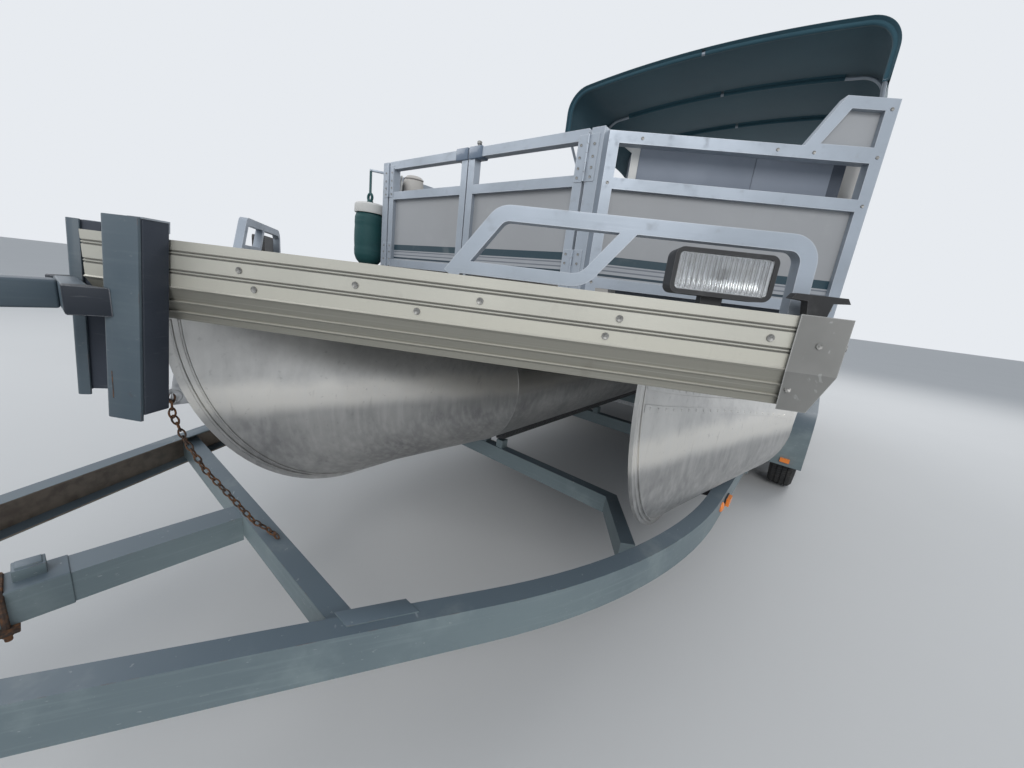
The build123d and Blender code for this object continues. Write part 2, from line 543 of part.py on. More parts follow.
BOW_R = 12.5
BOW_DROP = SHADE_SKIN + BOW_R + 3
SHADE_BOWS = (3290.0, 3950.0, 4640.0, 5400.0)
SHADE_PIVOT_Y = 4480.0
LEG_SPREAD = 0.16            # the legs' feet stand this share as far apart as their bows
bows = []
pivot_z = SIDE_TOP + 20
for y in SHADE_BOWS:
    plane = Plane(origin=(0, y, deck_top), x_dir=(1, 0, 0), z_dir=(0, -1, 0))
    wire = plane * Wire([e for a in shade_arch(BOW_DROP, SHADE_HEM + 10) for e in a.edges()])
    arch_tube = sweep(Plane(origin=wire.position_at(0), z_dir=(0, 0, 1)) * Circle(BOW_R), path=wire)
    legs = []
    for side in MIRRORED:
        top = Vector(side * (SHADE_HALF - BOW_DROP), y, deck_top + SHADE_HEM + 12)
        foot_y = SHADE_PIVOT_Y + (y - SHADE_PIVOT_Y) * LEG_SPREAD
        foot = Vector(side * (SIDE_FENCE_X - 4), foot_y, deck_top + pivot_z)
        way = foot - top
        leg_plane = Plane(origin=top - way.normalized() * 10, z_dir=way)
        legs.append(leg_plane * Cylinder(BOW_R, way.length + 10, align=(Align.CENTER, Align.CENTER, Align.MIN)))
    bows.append(join([arch_tube, *legs]))
feet = []
for side in MIRRORED:
    for y in SHADE_BOWS:
        foot_y = SHADE_PIVOT_Y + (y - SHADE_PIVOT_Y) * LEG_SPREAD
        feet.append(box(side * SIDE_FENCE_X - 14, side * SIDE_FENCE_X + 14, foot_y - 20, foot_y + 20,
                        deck_top + SIDE_TOP, deck_top + pivot_z + 8))
bows = [join([b, feet[i], feet[i + len(SHADE_BOWS)]]) for i, b in enumerate(bows)]
save("shade_bows", bows)

# Motor mount behind the middle tube, and the outboard motor
TRANSOM_Y = 7060.0
TRANSOM_TOP = 1110.0
MOUNT_HALF = 150.0
mount_outline = [
    (6300, beam_bottom), (6300, 900), (6640, 720), (TRANSOM_Y - 30, 760), (TRANSOM_Y, TRANSOM_TOP),
    (TRANSOM_Y - 60, TRANSOM_TOP), (TRANSOM_Y - 100, beam_bottom - 180), (6760, beam_bottom),
]
mount = prism(side_on(-MOUNT_HALF), mount_outline, 2 * MOUNT_HALF)
tube_plane = Plane(origin=(0, 6000, TUBE_Z), x_dir=(1, 0, 0), z_dir=(0, 1, 0))
mount = mount - tube_plane * Cylinder(TUBE_R, TUBE_END - 6000, align=standing)
mount = mount - box(-100, 100, 6000, TUBE_END + 5, 0, beam_bottom + 1)
save("motor_mount", mount)

TILT_PIVOT = (0.0, TRANSOM_Y + 95, 1165.0)
clamp_profile = [(TRANSOM_Y + y, z) for y, z in (
    (-64, TRANSOM_TOP + 2), (4, TRANSOM_TOP + 2), (4, 850), (40, 850), (123, 1100), (123, 1190), (55, 1196), (-64, 1150))]
cheeks = [prism(side_on(x), clamp_profile, 20) for x in (-120, 100)]
pin = Pos(TILT_PIVOT[0], TILT_PIVOT[1], TILT_PIVOT[2]) * Rot(0, 90, 0) * Cylinder(14, 236)
save("motor_clamp", join([*cheeks, pin]))

STEER_Y = TILT_PIVOT[1] + 60
swivel = (Pos(0, STEER_Y, 1080) * Cylinder(45, 300)
          + box(-90, 90, TILT_PIVOT[1] - 22, STEER_Y, 1120, 1190))
swivel = swivel - (Pos(TILT_PIVOT[0], TILT_PIVOT[1], TILT_PIVOT[2]) * Rot(0, 90, 0) * Cylinder(14.05, 300))
swivel = swivel - Pos(0, STEER_Y, 1080) * Cylinder(22.05, 400)
save("motor_swivel", swivel)

COWL_BASE = 1330.0           # high enough to clear the clamp when the motor is tilted and steered
LEG_SECTIONS = (             # height, front and rear behind the steering pivot, width
    (COWL_BASE - 2, 60.0, 310.0, 140.0),
    (930.0, 60.0, 270.0, 124.0),
    (760.0, 72.0, 262.0, 74.0),
    (600.0, 92.0, 250.0, 44.0),
)
slices = [Pos(0, STEER_Y + (front + rear) / 2, z) * RectangleRounded(width, rear - front, width * 0.3)
          for z, front, rear, width in LEG_SECTIONS]
leg = loft(slices, ruled=True)
PROP_Z = 560.0


def shaft_plane(y, turned=1):
    """A plane across the propeller shaft, y behind the steering pivot."""
    return Plane(origin=(0, STEER_Y + y, PROP_Z), z_dir=(0, turned, 0))


steering_pin = Pos(0, STEER_Y, 1080) * Cylinder(22, 330)
brackets = [box(-60, 60, STEER_Y - 40, STEER_Y + 120, z, z + 25) for z in (890, 1236)]
plate = box(-110, 110, STEER_Y + 40, STEER_Y + 420, 745, 753)
plate = fillet(plate.edges().filter_by(Axis.Z), 60)
gearcase = shaft_plane(60) * Cylinder(55, 300, align=standing)
nose_cone = shaft_plane(60, -1) * Cone(55, 12, 90, align=standing)
skeg = prism(side_on(-7), [(STEER_Y + y, z) for y, z in ((80, 540), (330, 540), (330, 380), (270, 380))], 14)
SHAFT_R = 12.0
shaft = shaft_plane(350) * Cylinder(SHAFT_R, 90, align=standing)
save("motor_leg", join([leg, steering_pin, *brackets, plate, gearcase, nose_cone, skeg, shaft]))

COWL_HALF = 170.0
cowl_side = make_face(Polyline(*[(STEER_Y + y, COWL_BASE + z) for y, z in (
    (-60, 0), (440, 0), (450, 220), (400, 400), (60, 460), (-60, 390))], close=True))
cowl_side = fillet([v for v in cowl_side.vertices() if v.Y > COWL_BASE + 10], 60)
cowl = extrude(side_on(-COWL_HALF) * cowl_side, 2 * COWL_HALF)
cowl_rims = [e for f in (cowl.faces().sort_by(Axis.X)[0], cowl.faces().sort_by(Axis.X)[-1]) for e in f.edges()]
save("motor_cowl", fillet(cowl_rims, 45))

BLADE_REACH, BLADE_PITCH = 62.0, 32.0
HUB_R = 46.0
prop_hub = shaft_plane(366) * Cylinder(HUB_R, 90, align=standing)
blade = Pos(0, 0, HUB_R + BLADE_REACH * 0.8) * Rot(0, 0, BLADE_PITCH) * extrude(
    Plane.XZ * Ellipse(44, BLADE_REACH), 4, both=True)
blades = [Pos(0, STEER_Y + 411, PROP_Z) * Rot(0, a, 0) * blade for a in (0, 120, 240)]
bore = shaft_plane(300) * Cylinder(SHAFT_R + 0.05, 142, align=standing)
save("propeller", join([prop_hub, *blades]) - bore)

# Trailer frame
rail_angle = atan2(TRAILER_HALF - RAIL_W / 2 - RAIL_APEX[0], RAIL_KNEE_Y - RAIL_APEX[1])


def rail_line(shift):
    """The side rail's middle line seen from above, moved outwards by shift."""
    x = TRAILER_HALF - RAIL_W / 2 + shift
    knee_y = RAIL_KNEE_Y - shift * tan(rail_angle / 2)
    tip = (RAIL_APEX[0] + shift * cos(rail_angle), RAIL_APEX[1] - shift * sin(rail_angle))
    return FilletPolyline((x, TRAILER_END), (x, knee_y), tip, radius=RAIL_BEND + shift)


rail_bar = extrude(Plane.XY.offset(RAIL_BASE) * trace(rail_line(0).edges(), RAIL_W), RAIL_H)
hollow_face = trace(rail_line(-RAIL_WALL).edges(), RAIL_W)
hollow = extrude(Plane.XY.offset(RAIL_BASE + RAIL_WALL) * hollow_face, RAIL_H - 2 * RAIL_WALL)
rail = (rail_bar - hollow) & box(TONGUE_W / 2, 1400, -1000, 7000, 0, 1000)
save("trailer_side_rails", both(rail))

BUNK_OUT = 55.0              # each pair of bunks straddles its tube by this much
BUNK_X = (BUNK_OUT, TUBE_X - BUNK_OUT, TUBE_X + BUNK_OUT)
BUNK_T, BUNK_W = 38.0, 50.0
BUNK_START, SIDE_BUNK_START, BUNK_END = 1340.0, 1600.0, 6240.0
bunk_seat = TUBE_Z - sqrt(TUBE_R**2 - BUNK_OUT**2)
upright_top = bunk_seat - BUNK_T - 14

# Cross members: the first stands between the rails on their lower flanges, the others run below them
FIRST_MEMBER_Y, FIRST_MEMBER_H = 240.0, 65.0
KNEE_MEMBER_Y = 1370.0
MEMBER_YS = (2425.0, 3275.0, 4975.0, 6225.0)


def low_member(line, upright_xs):
    """A bar under the rails along a line seen from above, with the bunks' uprights on it."""
    y = line.bounding_box().max.Y
    bar = extrude(Plane.XY.offset(RAIL_BASE - MEMBER_H) * trace(line.edges(), MEMBER_W), MEMBER_H)
    posts = []
    for x in [side * x for x in upright_xs for side in MIRRORED]:
        posts.append(box(x - 20, x + 20, y - 20, y + 20, RAIL_BASE - 1, upright_top))
    return join([bar, *posts])


first_member = box(-TRAILER_HALF, TRAILER_HALF, FIRST_MEMBER_Y, FIRST_MEMBER_Y + MEMBER_W,
                   RAIL_BASE + RAIL_WALL, RAIL_BASE + RAIL_WALL + FIRST_MEMBER_H)
first_member = first_member - rail - mirrored(rail)
knee_line = Polyline((-850, 1110), (-667, KNEE_MEMBER_Y), (667, KNEE_MEMBER_Y), (850, 1110))
members = [first_member.solids().sort_by(SortBy.VOLUME)[-1], low_member(knee_line, BUNK_X[:1])]
members += [low_member(Line((-TRAILER_HALF, y), (TRAILER_HALF, y)), BUNK_X) for y in MEMBER_YS]
save("trailer_cross_members", members)

bunks = []
for tube_x in (-TUBE_X, 0, TUBE_X):
    for side in MIRRORED:
        tilt = degrees(atan2(BUNK_OUT, TUBE_Z - bunk_seat))
        start = SIDE_BUNK_START if tube_x else BUNK_START
        board = Pos(0, 0, -BUNK_T / 2 - 0.3) * Box(BUNK_W, BUNK_END - start, BUNK_T)
        place = Pos(tube_x + side * BUNK_OUT, (start + BUNK_END) / 2, bunk_seat) * Rot(0, -side * tilt, 0)
        bunks.append(place * board)
save("bunks", bunks)

TONGUE_BASE = RAIL_BASE - 10
TONGUE_TOP = TONGUE_BASE + TONGUE_W
PLATE_T = 10.0
JACK_Y = -950.0
JACK_PIVOT_Z = 440.0
tongue = box(-TONGUE_W / 2, TONGUE_W / 2, COUPLER_TIP + 200, FIRST_MEMBER_Y, TONGUE_BASE, TONGUE_TOP)
jack_plate = box(TONGUE_W / 2, TONGUE_W / 2 + PLATE_T, JACK_Y - 60, JACK_Y + 60, JACK_PIVOT_Z - 45, TONGUE_TOP)
coupler = prism(side_on(-45), [(COUPLER_TIP + y, TONGUE_BASE + z) for y, z in (
    (0, -4), (0, 70), (90, 110), (260, 84), (260, -4))], 90)
coupler = fillet(coupler.edges().filter_by(Axis.Z).sort_by(Axis.Y)[:2], 34)
BALL_R, SOCKET_DEPTH = 25.5, 40.0
socket = Pos(0, COUPLER_TIP + 60, TONGUE_BASE - 4 + SOCKET_DEPTH) * (
    Sphere(BALL_R) + Cylinder(BALL_R, 2 * SOCKET_DEPTH, align=(Align.CENTER, Align.CENTER, Align.MAX)))
coupler = coupler - socket
PIN_R, PIN_END = 9.0, 70.0
jack_pin = Pos(TONGUE_W / 2 + 2, JACK_Y, JACK_PIVOT_Z) * Rot(0, 90, 0) * Cylinder(
    PIN_R, PIN_END - TONGUE_W / 2 - 2, align=standing)
save("trailer_tongue", join([tongue, jack_plate, coupler, jack_pin]))

# Swing-up jack beside the tongue
FOOT_R = 50.0
jack_x = TONGUE_W / 2 + PLATE_T + FOOT_R + 4
JACK_PARTS = ((520, 28, 560), (150, 22, 280), (6, FOOT_R, 12))     # middle height, radius, length
jack_tubes = [Pos(jack_x, JACK_Y, z) * Cylinder(r, h) for z, r, h in JACK_PARTS]
crank = [Pos(jack_x, JACK_Y, 806) * Cylinder(12, 24),
         box(jack_x - 6, jack_x + 6, JACK_Y, JACK_Y + 120, 806, 818),
         Pos(jack_x, JACK_Y + 114, 840) * Cylinder(12, 50)]
EAR = 35.0
jack_ear = box(TONGUE_W / 2 + PLATE_T + 0.5, jack_x, JACK_Y - EAR, JACK_Y + EAR, JACK_PIVOT_Z - EAR, JACK_PIVOT_Z + EAR)
pin_bore = Pos(TONGUE_W / 2, JACK_Y, JACK_PIVOT_Z) * Rot(0, 90, 0) * Cylinder(
    PIN_R + 0.05, PIN_END + 1 - TONGUE_W / 2, align=standing)
save("tongue_jack", join([*jack_tubes, *crank, jack_ear]) - pin_bore)

# Winch post, arm and the two bow guides with their rubber pads
GUIDE_TOP, GUIDE_BOTTOM = DECK_Z + 38, DECK_Z - 400
GUIDE_U = (36.0, 176.0)
PAD_T, CHANNEL_D = 40.0, 50.0


def guide_slab(u0, u1, n0, n1, z0, z1):
    face = Pos((u0 + u1) / 2, (z0 + z1) / 2 - DECK_Z) * Rectangle(u1 - u0, z1 - z0)
    return extrude(along_bow(n0) * face, n1 - n0)


pad = guide_slab(*GUIDE_U, 3.5, 3.5 + PAD_T, GUIDE_BOTTOM, GUIDE_TOP)
channel = guide_slab(*GUIDE_U, 3.5 + PAD_T, 3.5 + PAD_T + CHANNEL_D, GUIDE_BOTTOM, GUIDE_TOP)
save("guide_pads", both(pad))
arm_z = DECK_Z - 160
WINCH_POST_Y = -620.0
post = box(-38, 38, WINCH_POST_Y - 38, WINCH_POST_Y + 38, TONGUE_TOP, arm_z + 60)
brace = prism(side_on(-20), [(WINCH_POST_Y + y, z) for y, z in (
    (30, arm_z - 120), (30, arm_z - 60), (420, TONGUE_TOP), (360, TONGUE_TOP))], 40)
arm = box(-30, 30, WINCH_POST_Y, -100, arm_z - 30, arm_z + 30)
cross_bar = box(-130, 130, -110, -46, arm_z - 30, arm_z + 30)
winch_frame = box(-60, 60, WINCH_POST_Y + 38, WINCH_POST_Y + 150, arm_z + 30, arm_z + 60)
drum_y, drum_z = WINCH_POST_Y + 100, arm_z + 110
drum = Pos(0, drum_y, drum_z) * Rot(0, 90, 0) * Cylinder(42, 110)
winch_cheeks = [box(x, x + 6, drum_y - 55, drum_y + 55, drum_z - 80, drum_z + 50) for x in (-60, 54)]
crank = [Pos(75, drum_y, drum_z) * Rot(0, 90, 0) * Cylinder(9, 40),
         box(90, 98, drum_y - 10, drum_y + 10, drum_z - 190, drum_z + 14),
         Pos(130, drum_y, drum_z - 180) * Rot(0, 90, 0) * Cylinder(14, 72)]
winch = [winch_frame, drum, *winch_cheeks, *crank]
save("winch_stand", join([post, arm, cross_bar, brace, channel, mirrored(channel), *winch]))

# Axles with leaf springs, wheels and mudguards
EYE_REACH = 330.0            # from the axle to each eye of its spring
axle_set = []
for y in AXLE_Y:
    beam = Pos(0, y, TYRE_R) * Box(2 * (WHEEL_X - 110), 50, 50)
    spindles = [Pos(s * (WHEEL_X - 60), y, TYRE_R) * Rot(0, 90, 0) * Cylinder(SPINDLE_R, 130) for s in MIRRORED]
    springs = []
    for x in [s * (TRAILER_HALF - RAIL_W / 2) for s in MIRRORED]:
        line = ThreePointArc((y - EYE_REACH, RAIL_BASE - 60), (y, TYRE_R + 30), (y + EYE_REACH, RAIL_BASE - 60))
        springs.append(extrude(side_on(x - 22) * trace(line.edges(), 20), 44))
        for eye_y in (y - EYE_REACH, y + EYE_REACH):
            springs.append(box(x - 25, x + 25, eye_y - 30, eye_y + 30, RAIL_BASE - 76, RAIL_BASE))
    axle_set.append(join([beam, *spindles, *springs]))
save("axles", axle_set)

RIM_R = 165.0


def wheel_piece(points, centre):
    """A profile given as (distance along the axle, radius), turned about the axle."""
    face = make_face(Polyline(*points, close=True))
    spun = revolve(face, axis=Axis.X)
    return Pos(*centre) * spun


half_w = TYRE_W / 2
TREAD_GROOVES = (-34.0, 0.0, 34.0)
GROOVE_DEPTH = 7.0
tread = [(g + d, r) for g in TREAD_GROOVES
         for d, r in ((-4, TYRE_R), (-3, TYRE_R - GROOVE_DEPTH), (3, TYRE_R - GROOVE_DEPTH), (4, TYRE_R))]
shoulder = [(half_w - 24, TYRE_R - 4), (half_w - 6, TYRE_R - 28), (half_w, RIM_R + 50), (half_w - 22, RIM_R + 1)]
TYRE = [(-a, r) for a, r in reversed(shoulder)] + tread + shoulder
bore_r = SPINDLE_R + 0.05
RIM = [
    (-66, RIM_R), (-66, RIM_R - 10), (-20, RIM_R - 34), (4, RIM_R - 34), (18, 110), (4, 70), (4, 42), (-34, 38),
    (-34, bore_r), (20, bore_r), (44, SPINDLE_R + 12), (44, 40), (16, 44), (16, 74), (30, 112),
    (14, RIM_R - 24), (60, RIM_R - 10), (66, RIM_R),
]
VENTS, VENT_R, VENT_CIRCLE = 8, 13.0, 92.0
NUTS, NUT_R, NUT_CIRCLE = 5, 9.0, 57.0


def around_hub(count, circle, shape):
    """Copies of a shape that stands on the hub line, spread round it."""
    return [Rot(360 * k / count, 0, 0) * Pos(0, 0, circle) * shape for k in range(count)]


for name, side in (("port", 1), ("starboard", -1)):
    vent = Pos(side * 17, 0, 0) * Rot(0, 90, 0) * Cylinder(VENT_R, 60)
    nut = Pos(side * 22, 0, 0) * Rot(0, 90, 0) * Cylinder(NUT_R, 24)
    for place, y in zip(("front", "rear"), AXLE_Y):
        centre = (side * WHEEL_X, y, TYRE_R)
        save(f"tyre_{name}_{place}", wheel_piece(TYRE, centre))
        rim = wheel_piece([(side * a, r) for a, r in RIM], (0, 0, 0))
        rim = join([rim, *around_hub(NUTS, NUT_CIRCLE, nut)])
        for hole in around_hub(VENTS, VENT_CIRCLE, vent):
            rim = rim - hole
        save(f"rim_{name}_{place}", Pos(*centre) * rim)

GUARD_R = TYRE_R + 30
GUARD_X, GUARD_W, GUARD_T = 1085.0, 210.0, 4.0
GUARD_LIP = 24.0
guard_z = TYRE_R


def guard_line(r):
    """Over both wheels: an arc at each end, straight between them."""
    front, rear = AXLE_Y
    low, diagonal = guard_z - 60, r * sin(radians(45))
    return (Curve() + [
        Line((front - r, low), (front - r, guard_z)),
        ThreePointArc((front - r, guard_z), (front - diagonal, guard_z + diagonal), (front, guard_z + r)),
        Line((front, guard_z + r), (rear, guard_z + r)),
        ThreePointArc((rear, guard_z + r), (rear + diagonal, guard_z + diagonal), (rear + r, guard_z)),
        Line((rear + r, guard_z), (rear + r, low)),
    ]).edges()


guard = extrude(side_on(GUARD_X) * trace(guard_line(GUARD_R), GUARD_T), GUARD_W)
lip_line = guard_line(GUARD_R + GUARD_T / 2 - GUARD_LIP / 2)
lip = extrude(side_on(GUARD_X + GUARD_W - GUARD_T) * trace(lip_line, GUARD_LIP), GUARD_T)
STAY_Y = (4060.0, 4140.0)
guard_stay = box(TRAILER_HALF, 1100, *STAY_Y, 560, 600) + box(1090, 1100, *STAY_Y, 560, guard_z + GUARD_R + 1)
save("mudguards", both(join([guard, lip, guard_stay])))

# Lamps: amber markers and red tail lamps
MARKER = (18.0, 60.0, 30.0)
lamps = [
    Pos(TRAILER_HALF + 1 + MARKER[0] / 2, 1650, RAIL_TOP - 50) * Box(*MARKER),
    Pos(WHEEL_X, AXLE_Y[0] - GUARD_R - 2 - 9, 290) * Box(60, 18, 30),
    Pos(TRAILER_HALF - 80, TRAILER_END + 14, RAIL_TOP - 62) * Box(150, 28, 80),
]
save("trailer_lamps", [twin for lamp in lamps for twin in both(lamp)])

# A boat fender hanging by its line from the starboard bow fence
FENDER_R, FENDER_BARREL = 70.0, 150.0
FENDER_AT = (-650.0, 1018.0)
fender_low = DECK_Z + 6
fender = (Pos(*FENDER_AT, fender_low + FENDER_R) * Sphere(FENDER_R)
          + Pos(*FENDER_AT, fender_low + FENDER_R + FENDER_BARREL / 2) * Cylinder(FENDER_R, FENDER_BARREL)
          + Pos(*FENDER_AT, fender_low + FENDER_R + FENDER_BARREL) * Sphere(FENDER_R)
          + Pos(*FENDER_AT, fender_low + 2 * FENDER_R + FENDER_BARREL + 4) * Cylinder(16, 40))
line_top = deck_top + FENCE_TOP - RAIL / 2
line = Pos(*FENDER_AT, (fender_low + 300 + line_top) / 2) * Cylinder(5, line_top - fender_low - 300)
to_rail = (-sin(radians(BOW_ANGLE)), -cos(radians(BOW_ANGLE)), 0)
hook_plane = Plane(origin=(*FENDER_AT, line_top), x_dir=to_rail, z_dir=(0, 0, 1))
hook = extrude(hook_plane * (Pos(-38, 0) * Rectangle(88, 12)), 5, both=True)
save("hull_fender", join([fender, line, hook]))
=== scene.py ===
import json
from math import atan2, cos, pi, radians, sin, sqrt, tan

import bmesh
import bpy
from mathutils import Matrix, Vector


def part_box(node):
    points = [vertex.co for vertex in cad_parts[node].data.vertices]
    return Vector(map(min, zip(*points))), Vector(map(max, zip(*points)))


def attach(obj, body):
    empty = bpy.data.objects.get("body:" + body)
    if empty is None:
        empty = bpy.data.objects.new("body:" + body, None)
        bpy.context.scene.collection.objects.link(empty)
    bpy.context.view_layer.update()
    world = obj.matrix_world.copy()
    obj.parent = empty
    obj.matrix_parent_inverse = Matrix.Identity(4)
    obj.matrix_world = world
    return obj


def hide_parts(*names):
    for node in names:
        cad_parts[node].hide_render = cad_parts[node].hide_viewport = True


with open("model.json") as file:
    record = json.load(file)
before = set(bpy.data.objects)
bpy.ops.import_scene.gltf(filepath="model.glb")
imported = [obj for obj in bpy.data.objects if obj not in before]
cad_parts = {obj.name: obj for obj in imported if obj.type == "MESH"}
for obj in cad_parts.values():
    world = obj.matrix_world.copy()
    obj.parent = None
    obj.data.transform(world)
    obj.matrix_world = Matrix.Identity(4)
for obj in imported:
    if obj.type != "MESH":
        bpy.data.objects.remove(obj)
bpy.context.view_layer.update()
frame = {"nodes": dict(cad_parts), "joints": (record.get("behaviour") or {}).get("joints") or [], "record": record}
nodes = frame["nodes"]
joints = {j["name"]: j for j in frame["joints"]}

# Places, in metres, worked out from the frame.
# Along the boat, y is counted aft from the tip of the bow deck. Heights are counted from the ground,
# from the deck edge (DECK_Z) or from the floor's top (FLOOR_Z).
DECK_Z = 1.300
FLOOR_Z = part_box("deck")[1].z
TIP_Y = joints["gate_port_swing"]["pos_m"][1] - 1.026
BOW_ANGLE = radians(32)
ROOT = "boat_and_trailer"
MM = 0.001
WHEEL_Z = 0.305
AXLES = {"front": 3.700, "rear": 4.500}
COWL_STRIPES = ((1.520, 1.532), (1.538, 1.542))
COWL_SEAM, COWL_REAR = 1.392, 7.663


def aft(y):
    """A place along the boat, as the frame's Y."""
    return TIP_Y + y


def at(x, y, z):
    """A shift, as a matrix."""
    return Matrix.Translation((x, y, z))


def spin(angle, axis="Z"):
    """A turn about one axis, as a matrix."""
    return Matrix.Rotation(angle, 4, axis)


UP, PORT, AFT = Vector((0, 0, 1)), Vector((1, 0, 0)), Vector((0, 1, 0))
BOW_FRAME = at(0, TIP_Y, DECK_Z) @ spin(BOW_ANGLE)
FENCE_FRAME = at(0.560, aft(1.030 + 0.050 * tan(BOW_ANGLE)), FLOOR_Z) @ spin(BOW_ANGLE)
FLIP = Matrix.Scale(-1, 4, PORT)


class Wire:
    """One output of a material's nodes. Sums on it add Math nodes."""

    def __init__(self, paint, socket):
        self.paint, self.socket = paint, socket

    def math(self, operation, *values):
        return self.paint.node("ShaderNodeMath", {"operation": operation}, values)

    def __add__(self, other):
        return self.math("ADD", self, other)

    def __sub__(self, other):
        return self.math("SUBTRACT", self, other)

    def __rsub__(self, other):
        return self.math("SUBTRACT", other, self)

    def __mul__(self, other):
        return self.math("MULTIPLY", self, other)

    def __pow__(self, other):
        return self.math("POWER", self, other)

    __radd__, __rmul__ = __add__, __mul__

    def sine(self):
        return self.math("SINE", self)

    def most(self, other):
        return self.math("MAXIMUM", self, other)

    def least(self, other):
        return self.math("MINIMUM", self, other)

    def rise(self, low, high):
        """0 below low, 1 above high, smooth between. With low above high it falls."""
        ends = {"Value": self, "From Min": min(low, high), "From Max": max(low, high)}
        if low > high:
            ends.update({"To Min": 1.0, "To Max": 0.0})
        return self.paint.node("ShaderNodeMapRange", {"interpolation_type": "SMOOTHSTEP"}, ends)

    def band(self, low, high, soft):
        """1 between low and high, fading out over soft at each side."""
        return self.rise(low - soft, low) * self.rise(high + soft, high)


class Nodes:
    """The nodes of a material or of the world, built from nothing."""

    def __init__(self, owner):
        owner.use_nodes = True
        self.tree = owner.node_tree
        self.tree.nodes.clear()

    def node(self, kind, settings=None, values=(), output=0):
        made = self.tree.nodes.new(kind)
        for name, value in (settings or {}).items():
            setattr(made, name, value)
        pairs = values.items() if isinstance(values, dict) else enumerate(values)
        for key, value in pairs:
            if isinstance(value, Wire):
                self.tree.links.new(value.socket, made.inputs[key])
            else:
                made.inputs[key].default_value = value
        return Wire(self, made.outputs[output]) if made.outputs else None


class Paint(Nodes):
    """A material under construction: its coordinates, its patterns, its colour and its surface."""

    def __init__(self, name, color=None):
        self.material = bpy.data.materials.new(name)
        super().__init__(self.material)
        self.color = color
        self.place = self.node("ShaderNodeTexCoord", output=3)
        self.x, self.y, self.z = self.parts(self.place)

    def parts(self, vector):
        split = self.tree.nodes.new("ShaderNodeSeparateXYZ")
        self.tree.links.new(vector.socket, split.inputs[0])
        return [Wire(self, output) for output in split.outputs]

    def stretched(self, x, y, z, turn):
        """Object coordinates turned about Z and scaled, for grain that runs one way."""
        turned = self.node("ShaderNodeMapping", {"vector_type": "POINT"},
                           {"Vector": self.place, "Rotation": (0, 0, turn)})
        return self.node("ShaderNodeVectorMath", {"operation": "MULTIPLY"}, (turned, (x, y, z)))

    def noise(self, scale, detail=3.0, vector=None, roughness=0.5):
        return self.node("ShaderNodeTexNoise", {"noise_dimensions": "3D"}, {
            "Vector": vector or self.place, "Scale": scale, "Detail": detail, "Roughness": roughness})

    def streaks(self, x, y, z, detail=4.0, turn=0.0):
        """Noise drawn out one way, as brushing or runs of dirt."""
        return self.noise(1.0, detail, self.stretched(x, y, z, turn))

    def cells(self, scale):
        return self.node("ShaderNodeTexVoronoi", {"feature": "F1"}, {"Vector": self.place, "Scale": scale})

    def mix(self, share, first, second):
        """A colour between two colours."""
        ends = {0: share, 6: full(first), 7: full(second)}
        return self.node("ShaderNodeMix", {"data_type": "RGBA"}, ends, output=2)

    def coat(self, share, ink):
        """Covers a share of the colour so far with another."""
        self.color = self.mix(share, self.color, ink)

    def worn_edges(self, radius):
        """1 on sharp edges, 0 on flats."""
        rounded = self.node("ShaderNodeBevel", {"samples": 3}, {"Radius": radius})
        flat = self.node("ShaderNodeNewGeometry", output=1)
        match = self.node("ShaderNodeVectorMath", {"operation": "DOT_PRODUCT"}, (rounded, flat), output=1)
        return (1 - match).rise(0.02, 0.2)

    def bump(self, height, distance, strength):
        return self.node("ShaderNodeBump", None,
                         {"Strength": strength, "Distance": distance, "Height": height})

    def surface(self, roughness, metallic=0.0, normal=None, **fixed):
        """Ends the material. fixed sets plain values on the shader, such as Coat_Weight=0.3."""
        values = {"Base Color": full(self.color), "Roughness": roughness, "Metallic": metallic}
        if normal:
            values["Normal"] = normal
        values.update({name.replace("_", " "): value for name, value in fixed.items()})
        shader = self.node("ShaderNodeBsdfPrincipled", None, values)
        self.node("ShaderNodeOutputMaterial", None, {"Surface": shader})
        return self.material


def full(color):
    """A colour with its alpha; wires pass through."""
    return color if isinstance(color, Wire) or len(color) == 4 else (*color, 1.0)


# Finishes
def tube_alloy():
    """Brushed aluminium sheet, cloudy with oxide, duller and darker below the waterline (stain and painted shade),
    with a painted highlight band above it.
    """
    p = Paint("tube_alloy")
    brushing = p.streaks(150, 40, 5)
    clouds = p.noise(3.2, 6.0, None, 0.6)
    blooms = p.noise(7.5, 5.0, None, 0.62)
    speckle = p.noise(70, 4.0)
    stain = (clouds.rise(0.36, 0.72) * 0.7 + blooms.rise(0.42, 0.76) * 0.35).least(1.0)
    # darker and duller below the waterline: stain with painted shade
    waterline_and_shade = (p.z + clouds * 0.20 - 0.10).rise(0.95, 0.82)
    # painted highlight: a pale band above the waterline stands in for a reflection
    shine = (p.z + blooms * 0.05).band(0.925, 0.955, 0.050)
    p.color = p.mix(stain, (0.66, 0.65, 0.625), (0.47, 0.465, 0.455))
    p.coat(waterline_and_shade * (0.40 + stain * 0.35), (0.165, 0.165, 0.172))
    p.coat(shine * 0.70, (0.90, 0.865, 0.80))
    p.coat(brushing.rise(0.40, 0.72) * 0.22, (0.76, 0.75, 0.73))
    p.coat(brushing.rise(0.40, 0.22) * 0.22, (0.20, 0.20, 0.20))
    p.coat(speckle.rise(0.64, 0.76) * 0.22, (0.22, 0.215, 0.21))
    rough = 0.34 + stain * 0.10 + waterline_and_shade * 0.08 + brushing * 0.08
    return p.surface(rough, 0.94 - waterline_and_shade * 0.08, p.bump(brushing + speckle * 0.4, 0.0005, 0.4))


GROOVES = (-0.0210, -0.0270, -0.0570, -0.0630)      # below the deck edge
RIDGES = (-0.0895, -0.1185, -0.1405)


